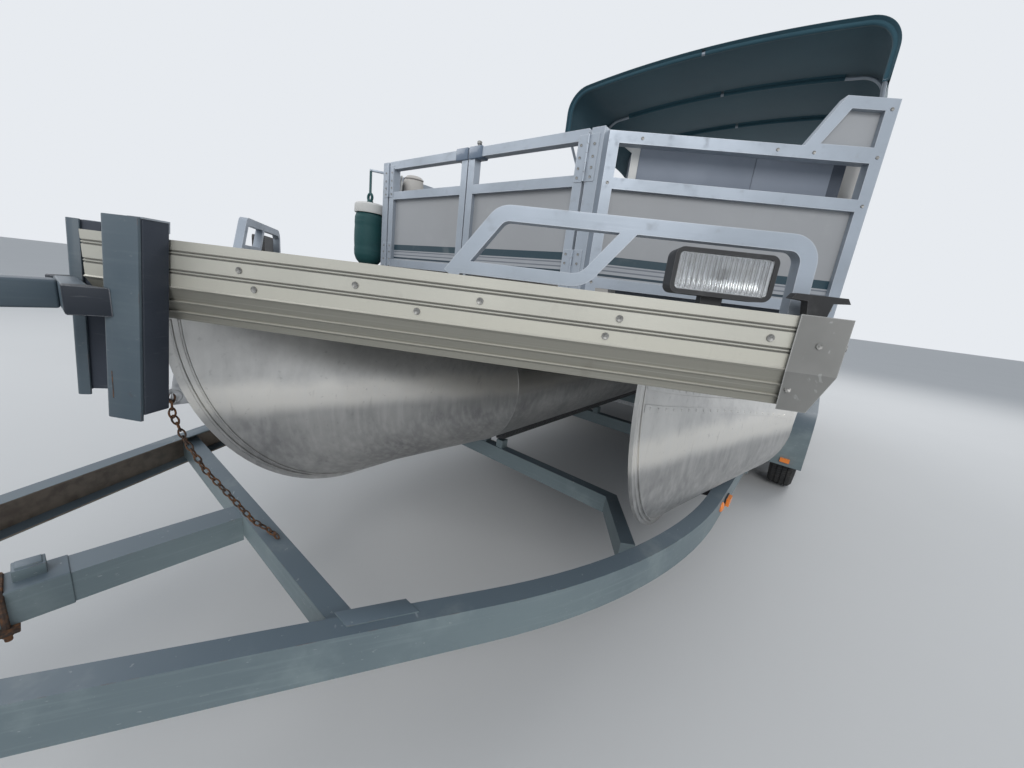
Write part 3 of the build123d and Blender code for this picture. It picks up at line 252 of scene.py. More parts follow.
def champagne():
    """Anodised bow extrusion: dirt and painted shade in its double grooves, painted highlights on its ridges,
    painted shade where it rakes under.
    """
    p = Paint("champagne")
    drawn = p.streaks(1.5, 1.5, 420, 3.0)
    clouds = p.noise(4.0, 5.0)
    dust = p.noise(46, 5.0)
    runs = p.streaks(26, 26, 1.4)
    height = p.z - DECK_Z
    p.color = p.mix(clouds.rise(0.3, 0.7), (0.590, 0.572, 0.500), (0.530, 0.515, 0.450))
    p.coat(height.band(-0.086, -0.065, 0.002), (0.560, 0.540, 0.465))
    # painted shade: the face that rakes under is darker
    p.coat(height.rise(-0.087, -0.092), (0.292, 0.281, 0.240))
    p.coat(drawn.rise(0.55, 0.8) * 0.25, (0.60, 0.585, 0.52))
    p.coat(runs.rise(0.60, 0.82) * 0.30, (0.20, 0.185, 0.155))
    # dirt and painted shade in the double grooves
    for groove in GROOVES:
        p.coat(height.band(groove - 0.0010, groove + 0.0010, 0.0007) * 0.72, (0.060, 0.060, 0.061))
    # painted highlights along the ridges
    for ridge in RIDGES:
        p.coat(height.band(ridge - 0.0009, ridge + 0.0009, 0.0008) * 0.55, (0.55, 0.53, 0.47))
    p.coat(dust.rise(0.60, 0.80) * 0.15, (0.30, 0.285, 0.25))
    rough = 0.40 + clouds * 0.12 + runs * 0.08
    return p.surface(rough, 0.45, p.bump(drawn + dust * 0.3, 0.0003, 0.3))


def edge_trim():
    """Plain mill-finish folded plate, handled and scratched."""
    p = Paint("edge_trim")
    clouds = p.noise(6, 5.0)
    scratch = p.streaks(200, 8, 40, 3.0, 0.6)
    p.color = p.mix(clouds.rise(0.35, 0.7), (0.285, 0.28, 0.265), (0.225, 0.222, 0.21))
    p.coat(scratch.rise(0.66, 0.72) * 0.4, (0.50, 0.50, 0.48))
    p.coat(p.worn_edges(0.003) * 0.7, (0.62, 0.62, 0.60))
    return p.surface(0.44 + clouds * 0.14, 0.55, p.bump(scratch + clouds, 0.0004, 0.4))


def rail_alloy():
    """Satin pale rail tube, cool grey, with scuffs and bright corners."""
    p = Paint("rail_alloy")
    drawn = p.streaks(4, 4, 300, 3.0)
    clouds = p.noise(5.0, 4.0)
    scuffs = p.noise(38, 5.0)
    p.color = p.mix(clouds.rise(0.3, 0.7), (0.390, 0.434, 0.490), (0.325, 0.364, 0.410))
    p.coat(scuffs.rise(0.60, 0.74) * 0.4, (0.33, 0.35, 0.375))
    p.coat(p.worn_edges(0.003) * 0.6, (0.68, 0.70, 0.72))
    rough = 0.36 + clouds * 0.12 + scuffs.rise(0.5, 0.8) * 0.2
    return p.surface(rough, 0.40, p.bump(drawn + scuffs, 0.0003, 0.3))


STRIPES = (        # bottom and top above the deck edge, in metres, and colour
    (0.098, 0.122, (0.010, 0.040, 0.058)),
    (0.0895, 0.0935, (0.17, 0.185, 0.21)),
    (0.0835, 0.0865, (0.34, 0.355, 0.38)),
    (0.0760, 0.0800, (0.17, 0.185, 0.21)),
    (0.0600, 0.0670, (0.010, 0.030, 0.046)),
)


def panel():
    """Baked enamel on the fence panels, with the stripes that run all round."""
    p = Paint("panel")
    clouds = p.noise(1.8, 4.0)
    dust = p.noise(14, 5.0)
    runs = p.streaks(22, 22, 1.6)
    height = p.z - DECK_Z
    p.color = p.mix(clouds.rise(0.3, 0.7), (0.345, 0.352, 0.362), (0.308, 0.312, 0.318))
    p.coat(height.rise(0.125, 0.096) * 0.5, (0.39, 0.41, 0.435))
    for low, high, ink in STRIPES:
        p.coat(height.band(low, high, 0.0006), ink)
    p.coat(runs.rise(0.6, 0.85) * height.rise(0.2, 0.33) * 0.35, (0.30, 0.28, 0.25))
    p.coat(dust.rise(0.55, 0.8) * 0.12, (0.56, 0.55, 0.53))
    return p.surface(0.32 + dust * 0.2, 0.0, p.bump(clouds, 0.004, 0.15), Coat_Weight=0.15)


def deck_vinyl():
    """Woven vinyl on the deck: two yarns crossing, with sand trodden in."""
    p = Paint("deck_vinyl")
    pitch = 2 * pi / 0.006
    warp = (p.x * pitch).sine()
    weft = (p.y * pitch).sine()
    weave = (warp * weft).rise(-0.6, 0.6)
    fleck = p.noise(160, 3.0)
    clouds = p.noise(1.4, 5.0)
    p.color = p.mix(weave, (0.215, 0.215, 0.215), (0.300, 0.300, 0.300))
    p.coat(fleck.rise(0.52, 0.7), (0.155, 0.155, 0.158))
    p.coat(clouds.rise(0.45, 0.8) * 0.5, (0.36, 0.345, 0.32))
    return p.surface(0.72 + fleck * 0.15, 0.0, p.bump(weave + fleck * 0.5, 0.0012, 0.8))


def canvas():
    """Marine canvas: a tight plain weave, sun-bleached on top, with pale dust."""
    p = Paint("canvas")
    pitch = 2 * pi / 0.0036
    warp = (p.x * pitch).sine()
    weft = (p.y * pitch).sine()
    weave = warp * weft
    slub = p.streaks(6, 260, 6, 3.0)
    clouds = p.noise(1.7, 5.0)
    dust = p.noise(9, 6.0)
    p.color = p.mix(clouds.rise(0.3, 0.75), (0.012, 0.058, 0.084), (0.018, 0.075, 0.104))
    p.coat(slub.rise(0.45, 0.75) * 0.4, (0.026, 0.092, 0.122))
    p.coat(dust.rise(0.58, 0.85) * 0.16, (0.11, 0.15, 0.16))
    return p.surface(0.82, 0.0, p.bump(weave * 0.4 + slub, 0.0008, 0.5),
                     Sheen_Weight=0.25, Sheen_Roughness=0.5)


def seat_vinyl(name, pale, dark):
    """Grained vinyl with fine creases."""
    p = Paint(name)
    grain = p.cells(420)
    creases = p.noise(26, 6.0)
    clouds = p.noise(3.0, 4.0)
    p.color = p.mix(clouds.rise(0.3, 0.75), pale, dark)
    p.coat(creases.rise(0.62, 0.78) * 0.25, tuple(c * 0.55 for c in dark))
    rough = 0.42 + clouds * 0.15 + grain * 0.1
    return p.surface(rough, 0.0, p.bump(grain * 0.6 + creases, 0.0008, 0.5), Coat_Weight=0.08)


def moulded(name, color, shine=0.45):
    """Moulded plastic with a fine spark-eroded grain, paler on rubbed edges."""
    p = Paint(name)
    grain = p.noise(600, 2.0)
    clouds = p.noise(5.0, 5.0)
    dust = p.noise(24, 6.0)
    pale = tuple(min(1.0, c * 1.25 + 0.03) for c in color)
    p.color = p.mix(clouds.rise(0.35, 0.75) * 0.6, color, pale)
    p.coat(dust.rise(0.6, 0.8) * 0.3, tuple(min(1.0, c + 0.10) for c in color))
    p.coat(p.worn_edges(0.0015) * 0.5, tuple(min(1.0, c + 0.16) for c in color))
    return p.surface(shine + dust * 0.18, 0.0, p.bump(grain, 0.0004, 0.5))


def trailer_paint(name="trailer_paint", shade=1.0):
    """Chalky grey-teal enamel on steel: streaky, painted shade on top, chipped, rusting at edges and inside; shade
    below 1 paints shade over it all.
    """
    p = Paint(name)
    clouds = p.noise(2.2, 6.0)
    patches = p.noise(5.5, 5.0, None, 0.6)
    brush = p.streaks(5, 5, 120)
    scratch = p.streaks(12, 70, 260, 3.0, 0.4)
    spots = p.noise(30, 6.0)
    flakes = p.noise(75, 5.0)
    rust_area = p.noise(3.6, 6.0).rise(0.66, 0.76)
    facing = p.parts(p.node("ShaderNodeNewGeometry", output=1))
    up = facing[2].rise(0.4, 0.95)
    inner = p.z.band(0.502, 0.598, 0.002) * (facing[0] * p.x).rise(-0.02, -0.12) * (1 - up)
    p.color = p.mix(clouds.rise(0.3, 0.72), (0.125, 0.166, 0.182), (0.168, 0.214, 0.226))
    p.coat(patches.rise(0.5, 0.7) * 0.5, (0.235, 0.288, 0.292))
    p.coat(brush.rise(0.5, 0.8) * 0.25, (0.28, 0.34, 0.34))
    # painted shade on faces that look up, darker and bluer, broken by lighter patches
    p.coat(up * 0.75, (0.105, 0.140, 0.175))
    p.coat(up * patches.rise(0.55, 0.7) * 0.6, (0.20, 0.235, 0.245))
    p.coat(scratch.rise(0.70, 0.75) * 0.5, (0.40, 0.42, 0.42))
    p.coat(flakes.rise(0.68, 0.74) * 0.35, (0.42, 0.44, 0.42))
    # painted shade: a shade below 1 darkens the whole enamel
    p.coat(1.0 - shade, (0.035, 0.055, 0.080))
    p.coat(inner * (0.55 + clouds * 0.4),
           p.mix(spots.rise(0.4, 0.7), (0.245, 0.175, 0.120), (0.15, 0.09, 0.055)))
    patchy = spots.rise(0.62, 0.72) * rust_area
    rust = (patchy + p.worn_edges(0.003) * spots.rise(0.52, 0.64) * 0.6).least(1.0)
    p.coat(rust, p.mix(spots.rise(0.5, 0.75), (0.20, 0.075, 0.030), (0.09, 0.035, 0.018)))
    rough = 0.46 + clouds * 0.14 + rust * 0.25
    return p.surface(rough, 0.0, p.bump(brush * 0.5 + spots * rust * 2.0, 0.0008, 0.6), Coat_Weight=0.06)


def zinc():
    """Galvanised steel: spangle, white bloom and a few rust freckles."""
    p = Paint("zinc")
    spangle = p.cells(70)
    clouds = p.noise(4.0, 6.0)
    freckle = p.noise(44, 5.0)
    p.color = p.mix(spangle.rise(0.1, 0.6), (0.36, 0.37, 0.38), (0.52, 0.53, 0.54))
    p.coat(clouds.rise(0.5, 0.75) * 0.6, (0.46, 0.46, 0.44))
    rust = freckle.rise(0.64, 0.72) * clouds.rise(0.4, 0.6)
    p.coat(rust, (0.20, 0.085, 0.035))
    return p.surface(0.42 + clouds * 0.2 + rust * 0.2, 0.75 - rust * 0.6, p.bump(freckle, 0.0006, 0.4))


def rusty():
    """Old chain: dark steel scale under orange rust."""
    p = Paint("rusty")
    scale = p.noise(90, 6.0)
    clouds = p.noise(14, 5.0)
    p.color = p.mix(scale.rise(0.4, 0.66), (0.060, 0.042, 0.034), (0.20, 0.095, 0.045))
    p.coat(clouds.rise(0.5, 0.7) * 0.6, (0.11, 0.085, 0.070))
    return p.surface(0.72 + scale * 0.2, 0.35, p.bump(scale, 0.0008, 0.8))


def carpet():
    """Black marine carpet: matted loops, sandy on top."""
    p = Paint("carpet")
    tuft = p.noise(420, 3.0)
    mat = p.noise(36, 6.0)
    p.color = p.mix(tuft.rise(0.3, 0.7), (0.008, 0.008, 0.009), (0.035, 0.036, 0.040))
    p.coat(mat.rise(0.55, 0.8) * 0.5, (0.085, 0.080, 0.072))
    return p.surface(0.95, 0.0, p.bump(tuft + mat * 0.6, 0.003, 0.9), Sheen_Weight=0.3)


def rubber(name="pad_rubber", color=(0.026, 0.034, 0.050), chalk=0.35):
    """Weathered rubber with a grey bloom, rubbed corners and light rub marks."""
    p = Paint(name, color)
    bloom = p.noise(4.5, 6.0)
    rubs = p.streaks(18, 18, 160)
    pits = p.noise(150, 4.0)
    p.coat(bloom.rise(0.4, 0.75) * chalk, (0.085, 0.095, 0.115))
    p.coat(rubs.rise(0.62, 0.8) * 0.35, (0.14, 0.145, 0.155))
    p.coat(p.worn_edges(0.003) * 0.7, (0.40, 0.41, 0.43))
    return p.surface(0.58 + bloom * 0.2, 0.0, p.bump(pits + rubs * 0.6, 0.0006, 0.6))


def gloss_paint(name, color, flake=0.0):
    """Sprayed gloss paint under clear coat, with faint swirls and dust."""
    p = Paint(name)
    peel = p.noise(120, 3.0)
    dust = p.noise(18, 6.0)
    sparkle = p.cells(1600)
    p.color = p.mix(dust.rise(0.55, 0.8) * 0.10, color, (0.5, 0.48, 0.45))
    p.coat(sparkle.rise(0.2, 0.0) * flake, tuple(min(1.0, c * 2 + 0.1) for c in color))
    return p.surface(0.26 + dust * 0.22, flake, p.bump(peel, 0.0003, 0.3), Coat_Weight=0.6,
                     Coat_Roughness=0.08)


def clear_lens():
    """Ribbed clear glass of the docking lights."""
    p = Paint("clear_lens")
    haze = p.noise(40, 5.0)
    p.color = p.mix(haze.rise(0.5, 0.8) * 0.3, (0.92, 0.93, 0.94), (0.80, 0.79, 0.76))
    return p.surface(0.06 + haze * 0.12, 0.0, None, Transmission_Weight=0.92, IOR=1.45)


def reflector():
    """Vacuum-plated bowl behind the lens."""
    p = Paint("reflector")
    haze = p.noise(60, 4.0)
    p.color = p.mix(haze.rise(0.4, 0.7), (0.86, 0.86, 0.85), (0.70, 0.69, 0.66))
    return p.surface(0.10 + haze * 0.15, 1.0)


def lamp_lens(name, color, painted_glow):
    """Moulded lamp lens with prism ribs inside and a faint painted glow."""
    p = Paint(name)
    ribs = ((p.z * (2 * pi / 0.004)).sine()).rise(-0.8, 0.8)
    fade = p.noise(30, 5.0)
    p.color = p.mix(ribs * 0.35, color, tuple(min(1.0, c * 1.5 + 0.03) for c in color))
    p.coat(fade.rise(0.5, 0.8) * 0.3, tuple(min(1.0, c * 0.7 + 0.10) for c in color))
    # the faint emission is a painted glow
    return p.surface(0.22 + fade * 0.15, 0.0, p.bump(ribs, 0.0006, 0.4), Coat_Weight=0.5,
                     Emission_Color=full(painted_glow), Emission_Strength=0.05)


def tyre_rubber(name, centre_y):
    """Tyre: fine rings and a serrated band on the wall, cross cuts in the tread painted dark as shade, dust in
    both.
    """
    p = Paint(name)
    along, high = p.y - centre_y, p.z - WHEEL_Z
    radius = (along * along + high * high) ** 0.5
    around = p.node("ShaderNodeMath", {"operation": "ARCTAN2"}, (high, along))
    wall = radius.rise(0.290, 0.280)
    rings = (radius * (2 * pi / 0.0085)).sine().rise(0.2, 0.9) * radius.band(0.192, 0.262, 0.004)
    comb = (around * 180).sine().rise(0.1, 0.6) * radius.band(0.268, 0.284, 0.002)
    cuts = (around * 84 + p.x * 55).sine().rise(0.80, 0.95) * (1 - wall)
    dust = p.noise(22, 6.0)
    p.color = p.mix(dust.rise(0.45, 0.75) * 0.5, (0.020, 0.020, 0.021), (0.095, 0.088, 0.078))
    p.coat(rings * 0.35, (0.050, 0.050, 0.052))
    # painted shade in the tread's cross cuts
    p.coat(cuts * 0.9, (0.006, 0.006, 0.006))
    return p.surface(0.62 + dust * 0.2, 0.0, p.bump(rings + comb - cuts * 3.0, 0.0015, 0.8))


def striped_gloss(name, color, stripe):
    """The cowl's black gloss with two silver lines round it."""
    p = Paint(name)
    peel = p.noise(120, 3.0)
    dust = p.noise(18, 6.0)
    p.color = p.mix(dust.rise(0.55, 0.8) * 0.10, color, (0.30, 0.29, 0.28))
    for low, high in COWL_STRIPES:
        p.coat(p.z.band(low, high, 0.0005), stripe)
    p.coat(p.z.band(COWL_SEAM - 0.0025, COWL_SEAM + 0.0025, 0.0004), (0.002, 0.002, 0.002))
    return p.surface(0.24 + dust * 0.2, 0.0, p.bump(peel, 0.0003, 0.3), Coat_Weight=0.6,
                     Coat_Roughness=0.08)


def acrylic():
    """Smoky acrylic of the windscreen."""
    p = Paint("acrylic")
    haze = p.noise(30, 5.0)
    p.color = p.mix(haze.rise(0.5, 0.8) * 0.25, (0.42, 0.45, 0.47), (0.55, 0.55, 0.54))
    return p.surface(0.08 + haze * 0.08, 0.0, None, Transmission_Weight=0.9, IOR=1.49)


def bolt_steel():
    """Zinc-plated screw heads, patchy with wear."""
    p = Paint("bolt_steel")
    wear = p.noise(260, 4.0)
    p.color = p.mix(wear.rise(0.4, 0.7), (0.30, 0.295, 0.28), (0.17, 0.165, 0.155))
    return p.surface(0.36 + wear * 0.25, 0.65, p.bump(wear, 0.0002, 0.4))


FINISH = {
    "tube_alloy": tube_alloy(),
    "rail_alloy": rail_alloy(),
    "fascia": champagne(),
    "edge_trim": edge_trim(),
    "deck_vinyl": deck_vinyl(),
    "panel": panel(),
    "canopy": canvas(),
    "seat_vinyl": seat_vinyl("seat_vinyl", (0.60, 0.57, 0.53), (0.52, 0.49, 0.45)),
    "seat_shell": moulded("seat_shell", (0.50, 0.48, 0.45)),
    "black_plastic": moulded("black_plastic", (0.012, 0.012, 0.013), 0.38),
    "lens": clear_lens(),
    "lamp": lamp_lens("lamp_amber", (0.80, 0.20, 0.015), (1.0, 0.25, 0.02)),
    "trailer_paint": trailer_paint(),
    "carpet": carpet(),
    "pad": rubber(),
    "zinc": zinc(),
    "tyre": tyre_rubber("tyre_front", aft(AXLES["front"])),
    "rim": gloss_paint("rim_paint", (0.62, 0.63, 0.64), 0.35),
    "motor_paint": gloss_paint("motor_paint", (0.018, 0.019, 0.021)),
    "cowl": striped_gloss("cowl_paint", (0.014, 0.015, 0.017), (0.50, 0.51, 0.53)),
    "fender": rubber("fender_vinyl", (0.006, 0.062, 0.064), 0.12),
}
REAR_TYRE = tyre_rubber("tyre_rear", aft(AXLES["rear"]))
SCREW = bolt_steel()
# the trailer enamel darkened by painted shade, for the guides and the winch post
SHADED_GUIDE_PAINT = trailer_paint("guide_paint", 0.36)
# near-black rubber finish on the steel knees: painted shade
KNEE_SHADE = rubber("knee_paint", (0.010, 0.015, 0.024), 0.08)
MIRROR_BOWL = reflector()
RUST = rusty()
PIPING = seat_vinyl("piping_vinyl", (0.30, 0.28, 0.26), (0.24, 0.225, 0.21))
WHITE_VINYL = moulded("white_vinyl", (0.62, 0.61, 0.58), 0.5)
BOARD = moulded("back_board", (0.195, 0.220, 0.262), 0.6)
# a dark board that stands for shade in the gap beside the back boards: painted shade
PAINTED_SHADE_BOARD = moulded("side_board", (0.060, 0.072, 0.095), 0.6)
LATCH = gloss_paint("latch_paint", (0.105, 0.150, 0.215), 0.1)
# red lens with a faint painted glow, also used on the gauge needles
RED_LENS = lamp_lens("lamp_red", (0.42, 0.008, 0.006), (0.8, 0.02, 0.01))


def dress_frame():
    """Every CAD node that stays gets the finish of its slot."""
    slots = {s["node"]: s["material_slot"] for s in frame["record"]["subparts"]}
    for name, piece in nodes.items():
        piece.data.materials.clear()
        rear_tyre = name.startswith("tyre") and name.endswith("rear")
        piece.data.materials.append(REAR_TYRE if rear_tyre else FINISH[slots[name]])


# Modelling by hand: one primitive at a time, shaped in edit mode
def start(add, name, **settings):
    """Adds one primitive on its own, at its size and place."""
    bpy.ops.object.select_all(action="DESELECT")
    add(**settings)
    made = bpy.context.object
    made.name = name
    return made


def only(piece):
    """Selects one piece and makes it the active one."""
    bpy.ops.object.select_all(action="DESELECT")
    piece.select_set(True)
    bpy.context.view_layer.objects.active = piece


def edit(piece, mode="FACE", chosen="DESELECT"):
    only(piece)
    bpy.ops.object.mode_set(mode="EDIT")
    bpy.ops.mesh.select_mode(type=mode)
    bpy.ops.mesh.select_all(action=chosen)


def pick(piece, test):
    """Opens a piece with those faces selected whose middle and normal pass the test."""
    edit(piece)
    mesh = bmesh.from_edit_mesh(piece.data)
    for face in mesh.faces:
        face.select_set(bool(test(face.calc_center_median(), face.normal)))
    bmesh.update_edit_mesh(piece.data)


def leave(piece, tidy_faces=False):
    """Back to object mode, with the piece's place in its mesh and its faces outwards."""
    if tidy_faces:
        bpy.ops.mesh.select_all(action="SELECT")
        bpy.ops.mesh.remove_doubles(threshold=0.01 * MM)
        bpy.ops.mesh.normals_make_consistent(inside=False)
    bpy.ops.object.mode_set(mode="OBJECT")
    only(piece)
    bpy.ops.object.transform_apply(location=True, rotation=True, scale=True)
    return piece


def extruded(step):
    """Pushes the selected faces out by a step."""
    bpy.ops.mesh.extrude_region_move(TRANSFORM_OT_translate={"value": Vector(step)})


def panelled(piece, way, insets, step, extrude=False):
    """Insets the faces that look one way, then moves or extrudes what is left of them."""
    pick(piece, lambda spot, out: out.dot(way) > 0.5)
    for width in insets:
        bpy.ops.mesh.inset(thickness=width)
    if extrude:
        extruded(step)
    else:
        bpy.ops.transform.translate(value=step)
    return leave(piece)


def modify(piece, kind, **settings):
    """Adds a modifier, sets it and applies it."""
    only(piece)
    bpy.ops.object.modifier_add(type=kind)
    added = piece.modifiers[-1]
    for name, value in settings.items():
        setattr(added, name, value)
    bpy.ops.object.modifier_apply(modifier=added.name)
    return piece


def rounded(piece, width, segments=2, angle=30):
    return modify(piece, "BEVEL", width=width, segments=segments, limit_method="ANGLE",
                  angle_limit=radians(angle), harden_normals=False)


def block(name, low, high, place=None):
    """A box between two corners, in the frame or in a place given by a matrix."""
    low, high = Vector(low), Vector(high)
    made = start(bpy.ops.mesh.primitive_cube_add, name, size=1, location=(low + high) / 2, scale=high - low)
    return moved(leave(made), place)


def moved(piece, place):
    if place is not None:
        piece.data.transform(place)
    return piece


def flipped(piece):
    """Turns a piece into its twin on the other side of the boat."""
    piece.data.flip_normals()
    return moved(piece, FLIP)


def cylinder(name, sides, radius, depth, **settings):
    settings.update(vertices=sides, radius=radius, depth=depth)
    return leave(start(bpy.ops.mesh.primitive_cylinder_add, name, **settings))


def grid(name, count_x, count_y, place):
    """A grid whose corners are put where place(share across, share along) says."""
    cells = {"x_subdivisions": count_x, "y_subdivisions": count_y}
    made = start(bpy.ops.mesh.primitive_grid_add, name, size=1, **cells)
    for corner in made.data.vertices:
        corner.co = place(corner.co.x + 0.5, corner.co.y + 0.5)
    return made


def thickened(piece, thickness):
    return modify(piece, "SOLIDIFY", thickness=thickness * MM, offset=0)


def drawn(name, points):
    """A line drawn point by point, by extruding one corner."""
    made = start(bpy.ops.mesh.primitive_plane_add, name, size=MM, location=points[0])
    edit(made, "VERT", "SELECT")
    bpy.ops.mesh.merge(type="CENTER")
    for here, there in zip(points, points[1:]):
        bpy.ops.mesh.extrude_vertices_move(TRANSFORM_OT_translate={"value": Vector(there) - Vector(here)})
    return made


def cut_out(name, points, depth, place=None):
    """A flat outline filled and pushed out by the vector depth."""
    made = drawn(name, points)
    bpy.ops.mesh.select_all(action="SELECT")
    bpy.ops.mesh.edge_face_add()
    bpy.ops.mesh.select_mode(type="FACE")
    bpy.ops.mesh.select_all(action="SELECT")
    extruded(depth)
    return moved(leave(made, tidy_faces=True), place)


def turned(name, profile, centre=(0, 0, 0), axis=(0, 0, 1), steps=32, place=None):
    """A profile of (distance along the axis, radius), spun about the axis."""
    centre, axis = Vector(centre), Vector(axis).normalized()
    side = axis.orthogonal().normalized()
    made = drawn(name, [centre + axis * along + side * radius for along, radius in profile])
    bpy.ops.mesh.select_all(action="SELECT")
    bpy.ops.mesh.spin(steps=steps, angle=2 * pi, center=centre, axis=axis)
    return moved(leave(made, tidy_faces=True), place)


def tube(name, points, radius, closed=False, sides=4, smooth=True):
    """A round bar along a smooth line through the points."""
    line = bpy.data.curves.new(name, "CURVE")
    line.dimensions, line.bevel_depth, line.bevel_resolution = "3D", radius, sides
    line.resolution_u, line.use_fill_caps = (6 if smooth else 1), True
    run = line.splines.new("BEZIER" if smooth else "POLY")
    knots = run.bezier_points if smooth else run.points
    knots.add(len(points) - 1)
    for knot, point in zip(knots, points):
        knot.co = (*point, 1.0)[:len(knot.co)]
        if smooth:
            knot.handle_left_type = knot.handle_right_type = "AUTO"
    run.use_cyclic_u = closed
    made = bpy.data.objects.new(name, line)
    bpy.context.scene.collection.objects.link(made)
    only(made)
    bpy.ops.object.convert(target="MESH")
    return bpy.context.object


def mirrored(piece, name):
    """The starboard twin of a port piece, or the other way round."""
    twin = piece.copy()
    twin.data, twin.name = piece.data.copy(), name
    bpy.context.scene.collection.objects.link(twin)
    return flipped(twin)


def joined(name, pieces):
    bpy.ops.object.select_all(action="DESELECT")
    for piece in pieces:
        piece.select_set(True)
    bpy.context.view_layer.objects.active = pieces[0]
    if len(pieces) > 1:
        bpy.ops.object.join()
    pieces[0].name = name
    return pieces[0]


def copies(name, master, places):
    """One piece made of a copy of the master at each place. The master is used up."""
    made = []
    for place in places:
        twin = master.copy()
        twin.data = master.data.copy()
        bpy.context.scene.collection.objects.link(twin)
        made.append(moved(twin, place))
    bpy.data.objects.remove(master)
    return joined(name, made)


def dress(piece, slot, body=ROOT, replaces=(), smooth=35, finish=None):
    """Finish, shading and body of a piece that is done. Without a finish it gets its slot's own."""
    piece.data.materials.clear()
    piece.data.materials.append(finish or FINISH[slot])
    only(piece)
    bpy.ops.object.shade_smooth_by_angle(angle=radians(smooth))
    if replaces:
        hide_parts(*replaces)
    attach(piece, body)
    return piece


def both_sides(piece, name, slot, replaces=(), smooth=35, finish=None):
    """A piece on the port side and its twin to starboard."""
    twin = mirrored(piece, f"{name}_starboard")
    piece.name = f"{name}_port"
    return [dress(one, slot, ROOT, replaces, smooth, finish) for one in (piece, twin)]


# Sunshade: one sheet of canvas over four bows, each in its own sleeve
SHADE_FRONT, SHADE_END = 3.260, 5.430
SHADE_HALF, SHADE_CROWN, SHADE_EDGE, SHADE_HEM = 1.126, 1.860, 1.803, 1.440
SHOULDER_R, SHOULDER_TURN = 0.200, radians(83)
SHADE_BOWS = (3.290, 3.950, 4.640, 5.400)
SHADE_DIP, SIDE_LESS = 0.016, 0.006         # the dip between bows, and how much less it is at the sides
HEM_RISE, HEM_REACH, HEM_WIDE, SIDE_HEM = 0.022, 0.12, 0.028, 0.03
BOW_R, BOW_DROP = 0.0125, 0.0235
crown_x = SHADE_HALF - SHOULDER_R * (1 - cos(SHOULDER_TURN))
side_top = SHADE_EDGE - SHOULDER_R * sin(SHOULDER_TURN)
crown_rise = SHADE_CROWN - SHADE_EDGE
CROWN_R = (crown_x ** 2 + crown_rise ** 2) / (2 * crown_rise)
CROWN_CLOTH = CROWN_R * atan2(crown_x, CROWN_R - crown_rise)
SHOULDER_CLOTH = SHOULDER_R * SHOULDER_TURN
HALF_CLOTH = CROWN_CLOTH + SHOULDER_CLOTH + side_top - SHADE_HEM


def shade_line(cloth, drop=0.0):
    """The place x, z at that much cloth from the middle, drop inside the sheet, and the way outwards."""
    side = 1 if cloth >= 0 else -1
    run = abs(cloth)
    if run <= CROWN_CLOTH:
        turn = run / CROWN_R
        x, z = CROWN_R * sin(turn), SHADE_CROWN - CROWN_R * (1 - cos(turn))
        out = Vector((sin(turn), cos(turn)))
    elif run <= CROWN_CLOTH + SHOULDER_CLOTH:
        turn = SHOULDER_TURN * (1 - (run - CROWN_CLOTH) / SHOULDER_CLOTH)
        x = SHADE_HALF - SHOULDER_R * (1 - cos(turn))
        z = side_top + SHOULDER_R * sin(turn)
        out = Vector((cos(turn), sin(turn)))
    else:
        x, z, out = SHADE_HALF, side_top - (run - CROWN_CLOTH - SHOULDER_CLOTH), Vector((1, 0))
    x, z = x - out.x * drop, z - out.y * drop
    return x * side, z, Vector((out.x * side, 0, out.y))


def shade_dip(cloth, y):
    """How far the canvas pulls in between two bows."""
    for front, rear in zip(SHADE_BOWS, SHADE_BOWS[1:]):
        if front <= y <= rear:
            share = (y - front) / (rear - front)
            side = min(1.0, max(0.0, (abs(cloth) - CROWN_CLOTH) / SHOULDER_CLOTH))
            return (SHADE_DIP - SIDE_LESS * side) * 4 * share * (1 - share)
    return 0.0


def shaped_sheet(name, across, along, counts, drop):
    """A grid of cloth laid over the bows: across is counted from the middle, along from the bow tip."""
    def place(share_x, share_y):
        cloth = across[0] + (across[1] - across[0]) * share_x
        y = along[0] + (along[1] - along[0]) * share_y
        low_edge = max(0.0, abs(cloth) - HALF_CLOTH + HEM_REACH) / HEM_REACH
        cloth -= (1 if cloth > 0 else -1) * low_edge ** 2 * HEM_RISE * shade_dip(0, y) / SHADE_DIP
        x, z, out = shade_line(cloth, drop + shade_dip(cloth, y))
        return x, aft(y), FLOOR_Z + z

    return grid(name, *counts, place)


def sunshade():
    """The sheet, a hem along each of its edges and a sleeve for each half of a bow."""
    whole, length = (-HALF_CLOTH, HALF_CLOTH), (SHADE_FRONT, SHADE_END)
    skin = thickened(shaped_sheet("canopy", whole, length, (140, 92), 0.001), 1.2)
    dress(skin, "canopy", replaces=["sunshade"], smooth=60)
    hems = [("front", whole, (SHADE_FRONT, SHADE_FRONT + HEM_WIDE), (140, 4)),
            ("rear", whole, (SHADE_END - HEM_WIDE, SHADE_END), (140, 4))]
    trims = []
    for side, name in ((-1, "starboard"), (1, "port")):
        hems.append((name, sorted((side * HALF_CLOTH, side * (HALF_CLOTH - SIDE_HEM))), length, (5, 92)))
        trims += [bow_sleeve(f"canopy_sleeve_{i}_{name}", y, side) for i, y in enumerate(SHADE_BOWS, 1)]
    trims += [thickened(shaped_sheet(f"canopy_hem_{name}", *spans, 0.003), 1.5) for name, *spans in hems]
    for trim in trims:
        dress(trim, "canopy", smooth=60)
    flat = (2 * HALF_CLOTH, SHADE_END - SHADE_FRONT)


SLEEVE_R = BOW_R + 2 * MM
SLEEVE_ENDS = (0.012, CROWN_CLOTH - 0.10)
SLEEVE_WRAP, SLEEVE_TURN = 0.55, radians(128)       # this share goes round the bow, the rest is flaps
FLAP = 16 * MM          # how far a flap reaches along the sheet, and below how far it rises to it
FLAP_RISE = BOW_DROP - SLEEVE_R * 0.616 - 3.2 * MM


